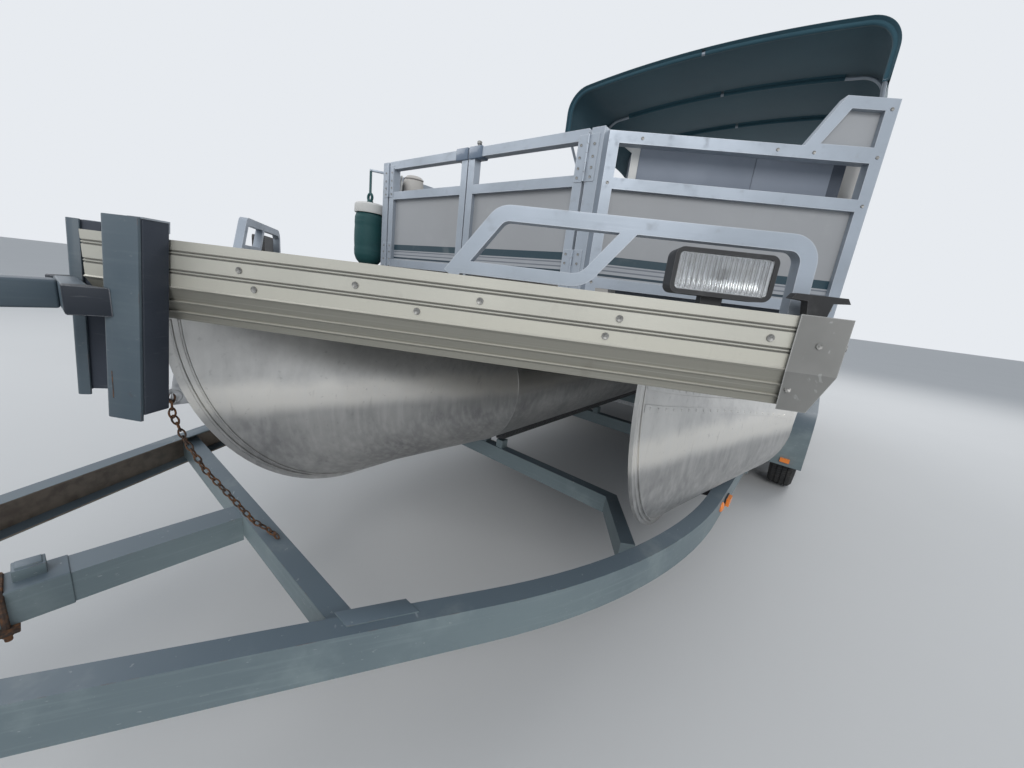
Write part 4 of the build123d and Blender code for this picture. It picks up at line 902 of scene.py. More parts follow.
def bow_sleeve(name, y, side):
    """A strip of canvas sewn to the underside, hugging one half of a bow."""
    last = HALF_CLOTH if y in (SHADE_BOWS[0], SHADE_BOWS[-1]) else SLEEVE_ENDS[1]

    def place(share, share_round):
        around = share_round * 2 - 1
        x, z, out = shade_line(side * (SLEEVE_ENDS[0] + (last - SLEEVE_ENDS[0]) * share))
        centre = Vector((x, aft(y), FLOOR_Z + z)) - out * BOW_DROP
        flap = max(0.0, abs(around) - SLEEVE_WRAP) / (1 - SLEEVE_WRAP)
        turn = min(abs(around), SLEEVE_WRAP) / SLEEVE_WRAP * SLEEVE_TURN
        back = AFT if around > 0 else -AFT
        spot = centre - out * SLEEVE_R * cos(turn) + back * SLEEVE_R * sin(turn)
        return spot + back * flap * FLAP + out * flap * FLAP_RISE

    made = grid(name, 60, 18, place)
    if side < 0:
        made.data.flip_normals()
    return thickened(made, 1.0)


# Upholstery: blocks a little small, puffed out by cloth simulation
SIM_STEPS = 16
PRESSURE = 4.0
CHANNEL_DEPTH, CHANNEL_WIDTH = 7 * MM, 10 * MM
WELT_R, WELT_RISE, WELT_STEP = 3.2 * MM, 0.86, 0.03


def puffed(piece, cap, voxel, held):
    """Swells a closed shape as stuffed cloth. No point moves further than cap; held points stay."""
    modify(piece, "REMESH", mode="VOXEL", voxel_size=voxel)
    pins = piece.vertex_groups.new(name="held")
    pins.add([v.index for v in piece.data.vertices if held(v.co)], 1.0, "REPLACE")
    only(piece)
    bpy.ops.object.modifier_add(type="CLOTH")
    cloth = piece.modifiers[-1]
    cloth.settings.quality = 3
    cloth.settings.use_pressure = True
    cloth.settings.uniform_pressure_force = PRESSURE
    cloth.settings.vertex_group_mass = "held"
    cloth.settings.effector_weights.gravity = 0
    for step in range(1, SIM_STEPS):
        bpy.context.scene.frame_set(step)
    seen = piece.evaluated_get(bpy.context.evaluated_depsgraph_get()).data
    swollen = [v.co.copy() for v in seen.vertices]
    piece.modifiers.remove(cloth)
    for corner, target in zip(piece.data.vertices, swollen):
        step = target - corner.co
        corner.co += step * min(1.0, cap / max(step.length, 1e-6))
    bpy.context.scene.frame_set(1)
    modify(piece, "SMOOTH", factor=0.5, iterations=4)
    return modify(piece, "SUBSURF", levels=1, render_levels=1)


def channelled(piece, lines, up=UP):
    """Sewn channels: each line is a point and a direction on the face that looks up."""
    facing = [corner.normal.dot(up) for corner in piece.data.vertices]
    for corner, share in zip(piece.data.vertices, facing):
        if share < 0.35:
            continue
        for point, way in lines:
            offset = corner.co - point
            offset -= up * offset.dot(up) + way * offset.dot(way)
            corner.co -= up * CHANNEL_DEPTH * 2.718 ** -((offset.length / CHANNEL_WIDTH) ** 2)
    return piece


def welt(name, piece, points):
    """Piping laid on the piece's surface along a closed ring of points."""
    laid = []
    for point in points:
        spot, out = piece.closest_point_on_mesh(point)[1:3]
        laid.append(spot + out * WELT_R * 0.4)
    return tube(name, laid, WELT_R, closed=True, sides=2, smooth=False)


def ring(outline, z):
    """Points at one height, evenly along a closed outline of (x, y)."""
    points = []
    for (x0, y0), (x1, y1) in zip(outline, outline[1:] + outline[:1]):
        count = max(1, int(sqrt((x1 - x0) ** 2 + (y1 - y0) ** 2) / WELT_STEP))
        points += [Vector((x0 + (x1 - x0) * k / count, y0 + (y1 - y0) * k / count, z))
                   for k in range(count)]
    return points


def cushion(name, outline, z0, z1, channels, cap=0.012, voxel=0.018, place=None):
    """A cushion on a flat base, with its piping: its outline from above, its height, its sewn channels."""
    middle = sum((Vector(p) for p in outline), Vector((0, 0))) / len(outline)

    def inset(by):
        return [tuple(Vector(p) - (Vector(p) - middle).normalized() * by * 1.3) for p in outline]

    top = z1 - cap * 0.8
    body = cut_out(name, [(x, y, z0) for x, y in inset(cap)], (0, 0, top - z0))
    rounded(body, min(0.022, (z1 - z0) * 0.3), 3)
    puffed(body, cap, voxel, lambda co: co.z < z0 + 0.012)
    channelled(body, channels)
    pipe = welt(f"{name}_welt", body, ring(inset(cap * 0.2), z0 + (top - z0) * WELT_RISE))
    return moved(body, place), [moved(pipe, place)]


def slab(x0, x1, y0, y1):
    """The outline of a seat between two places across the boat and two along it."""
    return [(x0, aft(y0)), (x1, aft(y0)), (x1, aft(y1)), (x0, aft(y1))]


def seam_at(x, z=0.0):
    """A sewn channel along the boat."""
    return Vector((x, 0, z)), AFT


def cross_seam(y, z=0.0):
    """A sewn channel across the boat."""
    return Vector((0, aft(y), z)), PORT


SEAT_TOP, BASE_TOP, BACK_TOP = 0.360, 0.270, 0.500     # above the deck
COUCH_IN, COUCH_OUT, COUCH_END = 0.624, 1.158, 2.946
COUCH_LINE = 1.102
LOUNGE_X, LOUNGE_END = (-1.158, 0.226), 6.208
SIDE_Y = (3.904, 5.346)
BACK_DEEP = 0.1


def couch_front(x):
    """The couches' angled front end, along the bow fence."""
    return aft(COUCH_LINE + 0.004 + (x - 0.510) * tan(BOW_ANGLE))


def seat_cushions():
    """All the boat's cushions. Those of the couches and the bow come in pairs."""
    base, top, behind = FLOOR_Z + BASE_TOP, FLOOR_Z + SEAT_TOP, COUCH_OUT - BACK_DEEP
    couch = slab(COUCH_IN, COUCH_OUT, 0, COUCH_END)
    couch[:2] = [(x, couch_front(x)) for x in (COUCH_IN, COUCH_OUT)]
    inner_seam = seam_at(COUCH_IN + 0.13, top)
    pads = (
        ("couch_pad", couch, [inner_seam, cross_seam(2.15, top)]),
        ("lounge_pad", slab(*LOUNGE_X, 5.564, LOUNGE_END), [cross_seam(5.70, top), seam_at(-0.466, top)]),
        ("side_pad", slab(COUCH_IN, COUCH_OUT, *SIDE_Y), [inner_seam, cross_seam(4.625, top)]),
    )
    backs = (
        ("couch_back", slab(behind, COUCH_OUT, 1.56, COUCH_END), 0.560,
         [cross_seam(2.02), cross_seam(2.49)]),
        ("lounge_back", slab(*LOUNGE_X, LOUNGE_END - BACK_DEEP, LOUNGE_END), 0.600,
         [seam_at(-0.70), seam_at(-0.235)]),
        ("side_back", slab(behind, COUCH_OUT, *SIDE_Y), 0.600, [cross_seam(4.385), cross_seam(4.865)]),
    )
    made = [cushion(name, outline, base, top, seams) for name, outline, seams in pads]
    made += [cushion(name, outline, top + MM, FLOOR_Z + rise, seams, 0.010, 0.013)
             for name, outline, rise, seams in backs]
    made.append(bow_backrest(top))
    for pad, pipes in made:
        name = pad.name
        upholster(pad, pipes, ROOT, ["cushions"])
        if name.startswith(("couch", "bow")):
            twins = [mirrored(one, f"{one.name}_starboard") for one in (pad, *pipes)]
            upholster(twins[0], twins[1:], ROOT, ["cushions"])
            pad.name = f"{name}_port"


def upholster(pad, pipes, body, stands_for):
    dress(pad, "seat_vinyl", body, stands_for, smooth=80)
    for pipe in pipes:
        dress(pipe, "seat_vinyl", body, smooth=80, finish=PIPING)


def bow_backrest(seat_top):
    """The couch's short back along the bow fence. Its rear shows between the mid and top rails."""
    place = at(COUCH_IN, couch_front(COUCH_IN) + 0.011, 0) @ spin(BOW_ANGLE)
    reach = (COUCH_OUT - 0.102 - COUCH_IN) / cos(BOW_ANGLE) + 0.024
    skew = BACK_DEEP * tan(BOW_ANGLE)
    outline = [(skew * 0.1, 0), (reach, 0), (reach - skew, BACK_DEEP), (-skew + 0.065, BACK_DEEP)]
    top = FLOOR_Z + BACK_TOP
    return cushion("bow_back", outline, seat_top + MM, top, [seam_at(0.26)], 0.008, 0.013, place)


def back_boards():
    """The boards that close the bow seats towards the fence, with a white edge, a folded corner and a dark strip
    of painted shade beside them.
    """
    front, rear, foot, top = 0.0560, 0.0635, 0.004, 0.462
    seam = 0.446
    boards = [block("board", (low, front, foot), (high, rear, top), FENCE_FRAME)
              for low, high in ((0.104, seam - MM), (seam + MM, 0.664))]
    backing = block("board", (0.110, front + 0.003, foot), (0.660, rear, top - 0.002), FENCE_FRAME)
    board = joined("back_board", [*[rounded(one, 1.5 * MM, 2) for one in boards], backing])
    both_sides(board, "back_board", "seat_shell", finish=BOARD)
    edge = rounded(block("edge", (0.080, front - 0.001, foot), (0.104, rear, top), FENCE_FRAME), 2 * MM, 2)
    fold = cut_out("fold", [(0.052, front, 0.456), (0.104, front, 0.456), (0.104, front, 0.424)],
                   (0, 0.003, 0), FENCE_FRAME)
    both_sides(joined("back_edge", [edge, fold]), "back_edge", "seat_shell", finish=WHITE_VINYL)
    # a dark strip of painted shade in the gap between the board and the corner post
    side = block("side_board", (0.664, front + 0.004, foot), (0.700, rear, top), FENCE_FRAME)
    both_sides(side, "side_board", "seat_shell", finish=PAINTED_SHADE_BOARD)


CHAIR_X = -0.700
CHAIR_SEAT, CHAIR_TOP, ARM_Z = 0.301, 0.420, 0.602        # above the deck


def chair_part(piece, slot="black_plastic"):
    return dress(piece, slot, "chair", ["captain_chair"])


def chair_pads():
    """The chair's seat and its back, each with crossed seams."""
    high = FLOOR_Z + CHAIR_TOP
    seams = [cross_seam(4.62, high), seam_at(-0.83, high), seam_at(-0.57, high)]
    seat = slab(CHAIR_X - 0.250, CHAIR_X + 0.250, 4.490, 4.895)
    pad, pipes = cushion("chair_seat", seat, FLOOR_Z + CHAIR_SEAT + 0.020, high, seams, 0.014, 0.011)
    upholster(pad, pipes, "chair", ["captain_chair"])
    rest = block("chair_back", (-0.936, aft(4.918), high + 0.010), (-0.464, aft(4.984), FLOOR_Z + 0.888))
    rounded(rest, 0.026, 3)
    pick(rest, lambda spot, out: spot.z > FLOOR_Z + 0.80 and out.z > 0.5)
    bpy.ops.transform.resize(value=(0.82, 1, 1))
    leave(rest)
    puffed(rest, 0.013, 0.011, lambda co: co.y > aft(4.975))
    channelled(rest, [(Vector((x, 0, 0)), UP) for x in (-0.80, -0.60)], -AFT)
    channelled(rest, [(Vector((0, 0, FLOOR_Z + z)), PORT) for z in (0.58, 0.76)], -AFT)
    upholster(rest, [], "chair", ["captain_chair"])


def captain_chair():
    """Helm chair: a seat and back in a moulded shell, with two padded arms."""
    chair_pads()
    low = FLOOR_Z + CHAIR_SEAT
    shell = block("chair_shell", (-0.955, aft(4.486), low), (-0.445, aft(4.960), low + 0.030))
    panelled(shell, UP, [0.014], (0, 0, -0.012), extrude=True)
    spine = block("chair_spine", (-0.940, aft(4.976), low + 0.010), (-0.460, aft(5.004), FLOOR_Z + 0.870))
    panelled(spine, AFT, [0.05], (0, -0.010, 0), extrude=True)
    for part in (shell, spine):
        chair_part(rounded(part, 0.010, 3), "seat_shell")
    for side in (1, -1):
        x, z = CHAIR_X + side * 0.235, FLOOR_Z + ARM_Z
        arm = block("chair_arm", (x - 0.022, aft(4.530), z), (x + 0.022, aft(4.895), z + 0.036))
        rounded(arm, 0.012, 3)
        puffed(arm, 0.004, 0.010, lambda co: co.z < FLOOR_Z + ARM_Z + 0.004)
        upholster(arm, [], "chair", ["captain_chair"])
        line = [(x, aft(4.545), FLOOR_Z + rise) for rise in (0.33, 0.45, 0.56, 0.612)]
        chair_part(tube("chair_arm_strut", line, 0.013))
        profile = [(-0.02, 0), (-0.02, 0.022), (0.012, 0.022), (0.016, 0.017), (0.016, 0)]
        chair_part(turned("chair_arm_pivot", profile, (x, aft(4.930), FLOOR_Z + 0.620), (side, 0, 0), 24))


FENDER_AT = Vector((-0.688, aft(1.042), DECK_Z + 0.006))
FENDER_R = 0.070


def fender_dome(middle, way, angles):
    """The ribbed end of the fender, as (height, radius) at those angles from its axis."""
    return [(middle - way * 0.066 * cos(radians(turn)),
             (FENDER_R + 0.0022 * (k % 2)) * sin(radians(turn)) ** 0.8 - 0.002)
            for k, turn in enumerate(angles)]


def hull_fender():
    """A boat fender on a rail hanger: ribbed ends, a moulded eye and a white collar."""
    waist, groove = FENDER_R, FENDER_R - 0.0028
    body = turned("fender_body", [
        (0.0, 0.0), (0.0, 0.020), (0.006, 0.032), *fender_dome(0.070, 1, range(24, 91, 11)),
        (0.082, waist), (0.096, groove), (0.110, waist), (0.180, waist), (0.194, groove), (0.208, waist),
        *fender_dome(0.220, -1, range(90, 23, -11)),
        (0.286, 0.026), (0.294, 0.017), (0.318, 0.015), (0.322, 0.0)], FENDER_AT, UP, 48)
    modify(body, "SUBSURF", levels=1, render_levels=1)
    dress(body, "fender", replaces=["hull_fender"], smooth=50)
    rim = [(0.254, 0.050), (0.254, waist), (0.258, 0.0715), (0.292, waist), (0.299, 0.064), (0.302, 0.050),
           (0.302, 0.012)]
    dress(turned("fender_collar", rim, FENDER_AT, UP, 40), "fender", finish=WHITE_VINYL)
    eye = [FENDER_AT + Vector((0.017 * cos(a), 0, 0.330 + 0.017 * sin(a)))
           for a in (k * pi / 6 for k in range(12))]
    dress(tube("fender_eye", eye, 0.0065, closed=True), "fender", smooth=60)
    top = FLOOR_Z + 0.461
    x, y, z = FENDER_AT
    strap = block("fender_strap", (x - 0.009, y - 0.002, z + 0.345), (x + 0.009, y + 0.002, top))
    dress(rounded(strap, 0.0009, 1), "fender")
    hook = block("fender_hanger", (-0.006, -0.006, -0.005), (0.006, 0.082, 0.005),
                 at(x, y, top) @ spin(-BOW_ANGLE))
    dress(rounded(hook, 0.0015, 2), "rail_alloy")


LIGHT_U, LIGHT_Z = 1.230, 0.052
LIGHT_W, LIGHT_H = 0.152, 0.062


def docking_lights():
    """Lens with vertical prism ribs, a plated bowl and a bulb behind it, in each docking light."""
    left, right = LIGHT_U - LIGHT_W / 2, LIGHT_U + LIGHT_W / 2
    low, high = LIGHT_Z - LIGHT_H / 2, LIGHT_Z + LIGHT_H / 2
    stands_for = ["docking_lenses"]
    lens = block("docking_glass", (left, 0.0105, low), (right, 0.0135, high))
    ribs = []
    for k in range(18):
        x = left + 0.004 + k * (LIGHT_W - 0.008) / 17
        ribs.append(cylinder("rib", 10, 0.0034, LIGHT_H - 0.004, location=(x, 0.0112, LIGHT_Z)))
    glass = joined("docking_glass", [lens, *ribs])
    both_sides(moved(glass, BOW_FRAME), "docking_glass", "lens", stands_for)
    bowl = block("docking_bowl", (left + MM, 0.0140, low + MM), (right - MM, 0.0216, high - MM))
    panelled(bowl, -AFT, [0.002, 0.012], (0, 0.0062, 0))
    both_sides(moved(bowl, BOW_FRAME), "docking_bowl", "lens", stands_for, finish=MIRROR_BOWL)
    bulb = turned("docking_bulb", [(0.0, 0), (0.0, 0.008), (0.002, 0.010), (0.0045, 0.006), (0.005, 0)],
                  (LIGHT_U, 0.0205, LIGHT_Z), -AFT, 20, BOW_FRAME)
    both_sides(bulb, "docking_bulb", "lens", stands_for, finish=SCREW)


# Fasteners: one head modelled, then copied to its places
def pan_head(radius):
    """A pan-head screw that faces -y, with a socket in its crown."""
    head = cylinder("screw", 16, radius, 0.46 * radius, location=(0, -0.23 * radius, 0),
                    rotation=(pi / 2, 0, 0))
    panelled(head, -AFT, [0.5 * radius], (0, 0.28 * radius, 0))
    return rounded(head, 0.16 * radius, 2, 50)


def screws(name, radius, places, body=ROOT, both=False):
    """Screws at places given by matrices, on one body or on both sides of the boat."""
    piece = copies(name, pan_head(radius), places)
    if both:
        return both_sides(piece, name, "rail_alloy", finish=SCREW)
    return dress(piece, "rail_alloy", body, finish=SCREW)


UPPER_SCREWS = (0.347, 0.584, 0.823, 1.073, 1.325)      # along the bow edge
LOWER_SCREWS = (0.377, 0.706, 1.054)


def bow_edge_screws():
    """Two staggered rows in the bow extrusions, then the corner caps, the side edges and the stern."""
    places = [BOW_FRAME @ at(u, 0.0005, -0.0415) for u in UPPER_SCREWS]
    places += [BOW_FRAME @ at(u, 0.0005, -0.0745) for u in LOWER_SCREWS]
    screws("bow_edge_screws", 6.5 * MM, places, both=True)
    raked = spin(radians(-17.5), "X")
    places = [BOW_FRAME @ at(1.400, -0.0060, -0.045), BOW_FRAME @ at(1.378, 0.0060, -0.126) @ raked]
    side = at(1.220, aft(0.762), DECK_Z) @ spin(pi / 2)
    places += [side @ at(0.100, -0.0060, -0.045), side @ at(0.030, -0.0060, -0.045)]
    places += [side @ at(u, 0, -0.047) for u in (0.30, 1.10, 1.90, 2.70, 3.50, 4.30, 5.10, 5.70)]
    screws("corner_cap_screws", 5.5 * MM, places, both=True)
    stern = at(0, aft(6.700), DECK_Z) @ spin(pi)
    places = [stern @ at(x, 0, -0.047) for x in (-1.0, -0.6, -0.2, 0.2, 0.6, 1.0)]
    screws("stern_edge_screws", 5.5 * MM, places)


FENCE_SCREWS = (
    (0.097, 0.461), (0.475, 0.461), (0.572, 0.461), (0.016, 0.335), (0.016, 0.041),
    (0.738, 0.335), (0.738, 0.041), (0.738, 0.580), (0.738, 0.461), (0.300, 0.041),
)
HINGE_ROWS = (0.026, 0.058, 0.090, 0.118, 0.342, 0.368, 0.398, 0.432)      # above the floor
STERN_ROWS = (0.055, 0.085, 0.115, 0.145, 0.445, 0.478, 0.511, 0.544)
HINGE_X, STERN_HINGE_X = 0.513, 0.865


def fence_screws():
    """Dark screws in the bow fence, and the rows that hold the hinge plates."""
    screws("fence_screws", 4.6 * MM, [FENCE_FRAME @ at(x, 0.0003, z) for x, z in FENCE_SCREWS], both=True)
    bow, stern = aft(1.028), aft(6.216)
    for name, x, face, rows, body, both in (
            ("hinge_post_screws", HINGE_X + 0.021, bow, HINGE_ROWS, ROOT, True),
            ("hinge_leaf_screws_port", HINGE_X - 0.024, bow, HINGE_ROWS, "gate_port", False),
            ("hinge_leaf_screws_starboard", -HINGE_X + 0.024, bow, HINGE_ROWS, "gate_starboard", False),
            ("stern_hinge_post_screws", STERN_HINGE_X + 0.021, stern, STERN_ROWS, ROOT, False),
            ("stern_hinge_leaf_screws", STERN_HINGE_X - 0.021, stern, STERN_ROWS, "gate_stern", False)):
        screws(name, 4.0 * MM, [at(x, face, FLOOR_Z + z) for z in rows], body, both)


def gate_latch():
    """A sleeve half on each leaf's top rail, with a thumb bolt on the port one."""
    for body in ("gate_port", "gate_starboard"):
        sleeve = block(f"latch_sleeve_{body}", (0.0035, aft(1.0255), FLOOR_Z + 0.4395),
                       (0.0660, aft(1.0665), FLOOR_Z + 0.4820))
        panelled(sleeve, PORT, [0.003], (0.004, 0, 0))
        rounded(sleeve, 2.5 * MM, 3)
        if body == "gate_starboard":
            flipped(sleeve)
        dress(sleeve, "rail_alloy", body, finish=LATCH)
    profile = [(0, 0.0), (0, 0.006), (0.010, 0.006), (0.012, 0.009), (0.020, 0.009), (0.022, 0.007),
               (0.022, 0)]
    bolt = turned("latch_bolt", profile, (0.035, aft(1.0465), FLOOR_Z + 0.4815), UP, 20)
    dress(bolt, "rail_alloy", "gate_port", finish=SCREW)


# Tubes: welded seams, strakes and the bow eye
TUBE_R, TUBE_X, TUBE_MID = 0.280, 0.900, 0.8675
STEM_Y, STEM_RUN, NOSE_LENGTH = 0.112, 0.470, 1.040
STRAKE_DROP, STRAKE_WIDE = 0.30, 0.024      # shares of the nose's height
TUBES = (("port", TUBE_X, 0.660), ("centre", 0.0, 0.0), ("starboard", -TUBE_X, 0.660))


def nose_point(x, lag, side, rise, back, proud=0.0):
    """A place on a tube's nose: rise runs from 0 at the keel to 1 at the top, back from 0 at the stem
    to 1 where the nose meets the barrel."""
    turn = rise * pi / 2
    stem = Vector((x, aft(STEM_Y + STEM_RUN + lag - STEM_RUN * sin(turn)),
                   TUBE_MID + TUBE_R - 2 * TUBE_R * cos(turn)))
    swing = rise * pi - pi / 2
    rib = Vector((x + side * TUBE_R * cos(swing), aft(STEM_Y + NOSE_LENGTH + lag),
                  TUBE_MID + TUBE_R * sin(swing)))
    spot = stem.lerp(rib, back)
    out = Vector((side, -0.35, 0)).lerp(Vector((side * cos(swing), 0, sin(swing))), back).normalized()
    return spot + out * proud


def stem_seams(name, x, lag):
    """The nose's two skins are welded along the stem: a ridge each side of its edge."""
    ridges = []
    for side in (1, -1):
        for gap, radius in ((0.013, 0.0046), (0.031, 0.0030)):
            line = []
            for k in range(17):
                rise = 0.04 + 0.93 * k / 16
                edge, rear = nose_point(x, lag, side, rise, 0), nose_point(x, lag, side, rise, 1)
                line.append(nose_point(x, lag, side, rise, gap / (rear - edge).length, 0.0012))
            ridges.append(tube(f"stem_seam_{name}", line, radius, sides=2))
    dress(joined(f"stem_seam_{name}", ridges), "tube_alloy", smooth=60)


def barrel_seams(name, x, lag):
    """Weld beads round the barrel, and where the nose meets it."""
    profile = [(-0.004, TUBE_R - 0.001), (-0.002, TUBE_R + 0.0014), (0.002, TUBE_R + 0.0014),
               (0.004, TUBE_R - 0.001)]
    beads = [turned("bead", profile + profile[:1], (x, aft(y), TUBE_MID), AFT, 56)
             for y in (STEM_Y + NOSE_LENGTH + lag + 0.002, 3.100, 4.900)]
    dress(joined(f"barrel_seams_{name}", beads), "tube_alloy", smooth=60)


def strake(x, lag, side, rise):
    """A riveted strip from the top of the stem down the nose's side."""
    def on_nose(share, up=0.0, proud=0.0):
        return nose_point(x, lag, side, rise - STRAKE_DROP * share + up, 0.035 + 0.90 * share, proud)

    def place(share, across):
        return on_nose(share, STRAKE_WIDE * (across - 0.5), 0.0022)

    strip = thickened(grid("strake", 22, 2, place), 2.2)
    rivet = start(bpy.ops.mesh.primitive_uv_sphere_add, "rivet", segments=10, ring_count=6, radius=0.0045)
    rivet.data.transform(Matrix.Scale(0.45, 4, UP))
    places = []
    for k in range(21):
        share = 0.03 + 0.94 * k / 20
        spot = on_nose(share, proud=0.0030)
        out = (on_nose(share, proud=0.1) - spot).normalized()
        places.append(at(*spot) @ out.to_track_quat("Z", "Y").to_matrix().to_4x4())
    return joined("strake", [strip, copies("rivets", rivet, places)])


def strakes():
    """Two strips on the outer side of each outer tube."""
    for name, x, lag in (TUBES[0], TUBES[2]):
        strips = [strake(x, lag, 1 if x > 0 else -1, top) for top in (0.955, 0.885)]
        dress(joined(f"strake_{name}", strips), "tube_alloy", smooth=40)


BOW_EYE = Vector((0, aft(0.120), DECK_Z - 0.366))
CHAIN = (       # across, aft of the bow's tip and from the deck edge
    (0.003, 0.116, -0.362), (0.018, 0.112, -0.405), (0.026, 0.130, -0.475), (0.050, 0.160, -0.557),
    (0.088, 0.200, -0.630), (0.130, 0.238, -0.700), (0.158, 0.262, -0.7215), (0.205, 0.268, -0.7215),
)
LINK_LONG, LINK_WIDE, LINK_WIRE, LINK_STEP = 0.0122, 0.0046, 0.0022, 0.0188


def bow_eye():
    """A plate welded to the middle stem, with a ring."""
    outline = [(0.128, -0.290), (0.114, -0.372), (0.118, -0.388), (0.168, -0.388)]
    plate = cut_out("bow_eye", [(-0.004, aft(y), DECK_Z + z) for y, z in outline], (0.008, 0, 0))
    rounded(plate, 2 * MM, 2)
    hoop = [BOW_EYE + Vector((0, cos(a), sin(a))) * 0.014 for a in (k * pi / 4 for k in range(8))]
    eye = joined("bow_eye", [plate, tube("eye_ring", hoop, 0.0055, closed=True, sides=3)])
    dress(eye, "zinc", smooth=60)


def safety_chain():
    """The rusty chain that hangs from the bow eye to the first member."""
    line = [Vector((x, aft(y), DECK_Z + z)) for x, y, z in CHAIN]
    runs = [(b - a).length for a, b in zip(line, line[1:])]
    right = [(LINK_LONG, 0, 0), (0.0075, LINK_WIDE, 0), (-0.0075, LINK_WIDE, 0)]
    link = tube("link", right + [(-x, -y, 0) for x, y, z in right], LINK_WIRE, closed=True, sides=1)
    places, walked = [], 0.006
    while walked < sum(runs):
        rest, spot = walked, 0
        while rest > runs[spot]:
            rest, spot = rest - runs[spot], spot + 1
        here = line[spot].lerp(line[spot + 1], rest / runs[spot])
        way = (line[spot + 1] - line[spot]).to_track_quat("X", "Z").to_matrix().to_4x4()
        places.append(at(*here) @ way @ spin(radians(80 if len(places) % 2 else -10), "X"))
        walked += LINK_STEP
    dress(copies("safety_chain", link, places), "zinc", smooth=60, finish=RUST)


# Bow guides and winch stand
GUIDE_X, GUIDE_Z, GUIDE_LEAN = (0.1295, 0.2095), (-0.361, 0.031), 0.1036     # along the bow, height, lean
GUIDE_FRONT, GUIDE_SEAM, GUIDE_REAR = -0.0620, -0.0560, -0.0035
ARM_FRONT, ARM_REAR, POST_Y = 1.166, 1.172, -0.620
DRUM = Vector((0, aft(-0.520), 1.250))
GUIDE_SHIFT = (0, -0.027, -0.008)       # the boat lies a little closer to the port guide


def bow_guides():
    """A folded steel guide each side of the stem with a rubber pad behind it; both lean outwards."""
    lean = Matrix.Identity(4)
    lean[0][2], lean[0][3] = GUIDE_LEAN, -GUIDE_LEAN * GUIDE_Z[1]
    place = BOW_FRAME @ lean
    (inner, outer), (foot, top) = GUIDE_X, GUIDE_Z
    fold, thick, lip = 0.010, GUIDE_SEAM - GUIDE_FRONT, 0.026
    hub = Vector((inner + fold, GUIDE_FRONT + fold))
    turns = [k * pi / 10 for k in range(6)]
    outside = [hub - Vector((sin(a), cos(a))) * fold for a in turns]
    inside = [hub - Vector((sin(a), cos(a))) * (fold - thick) for a in reversed(turns)]
    edge = [(outer, GUIDE_SEAM), (outer, GUIDE_FRONT), *outside, (inner, GUIDE_FRONT + lip),
            (inner + thick, GUIDE_FRONT + lip), *inside]
    steel = cut_out("bow_guide", [(x, y, foot) for x, y in edge], (0, 0, top - foot), place)
    # the steel guides get the enamel darkened by painted shade
    steels = both_sides(rounded(steel, 1.2 * MM, 2, 50), "bow_guide", "trailer_paint", ("winch_stand",),
                        finish=SHADED_GUIDE_PAINT)
    pad = block("guide_pad", (inner + 0.008, GUIDE_SEAM + 0.0012, foot + 0.012),
                (outer, GUIDE_REAR, top - 0.001), place)
    pads = both_sides(rounded(pad, 2.5 * MM, 3), "guide_pad", "pad", ("guide_pads",))
    front, rear = GUIDE_SEAM + 0.0015, GUIDE_REAR - 0.002
    back = [(front, top), (GUIDE_REAR, top), (GUIDE_REAR, top - 0.022), (rear, top - 0.022),
            (rear, top - 0.003), (front, top - 0.003)]
    lip_strip = cut_out("guide_lip", [(outer - 0.030, y, z + 0.001) for y, z in back], (0.031, 0, 0), place)
    lips = both_sides(lip_strip, "guide_lip", "rail_alloy")
    for port, starboard in (steels, pads, lips):
        moved(starboard, at(*GUIDE_SHIFT))
    scratch = [(0.1462, -0.262), (0.1478, -0.262), (0.1486, -0.282), (0.1500, -0.306), (0.1496, -0.319),
               (0.1476, -0.318), (0.1474, -0.296), (0.1464, -0.280)]
    outline = [(x, GUIDE_FRONT + 0.0002, z) for x, z in scratch]
    dress(cut_out("guide_scratch", outline, (0, -0.0005, 0), place), "trailer_paint", finish=RUST)


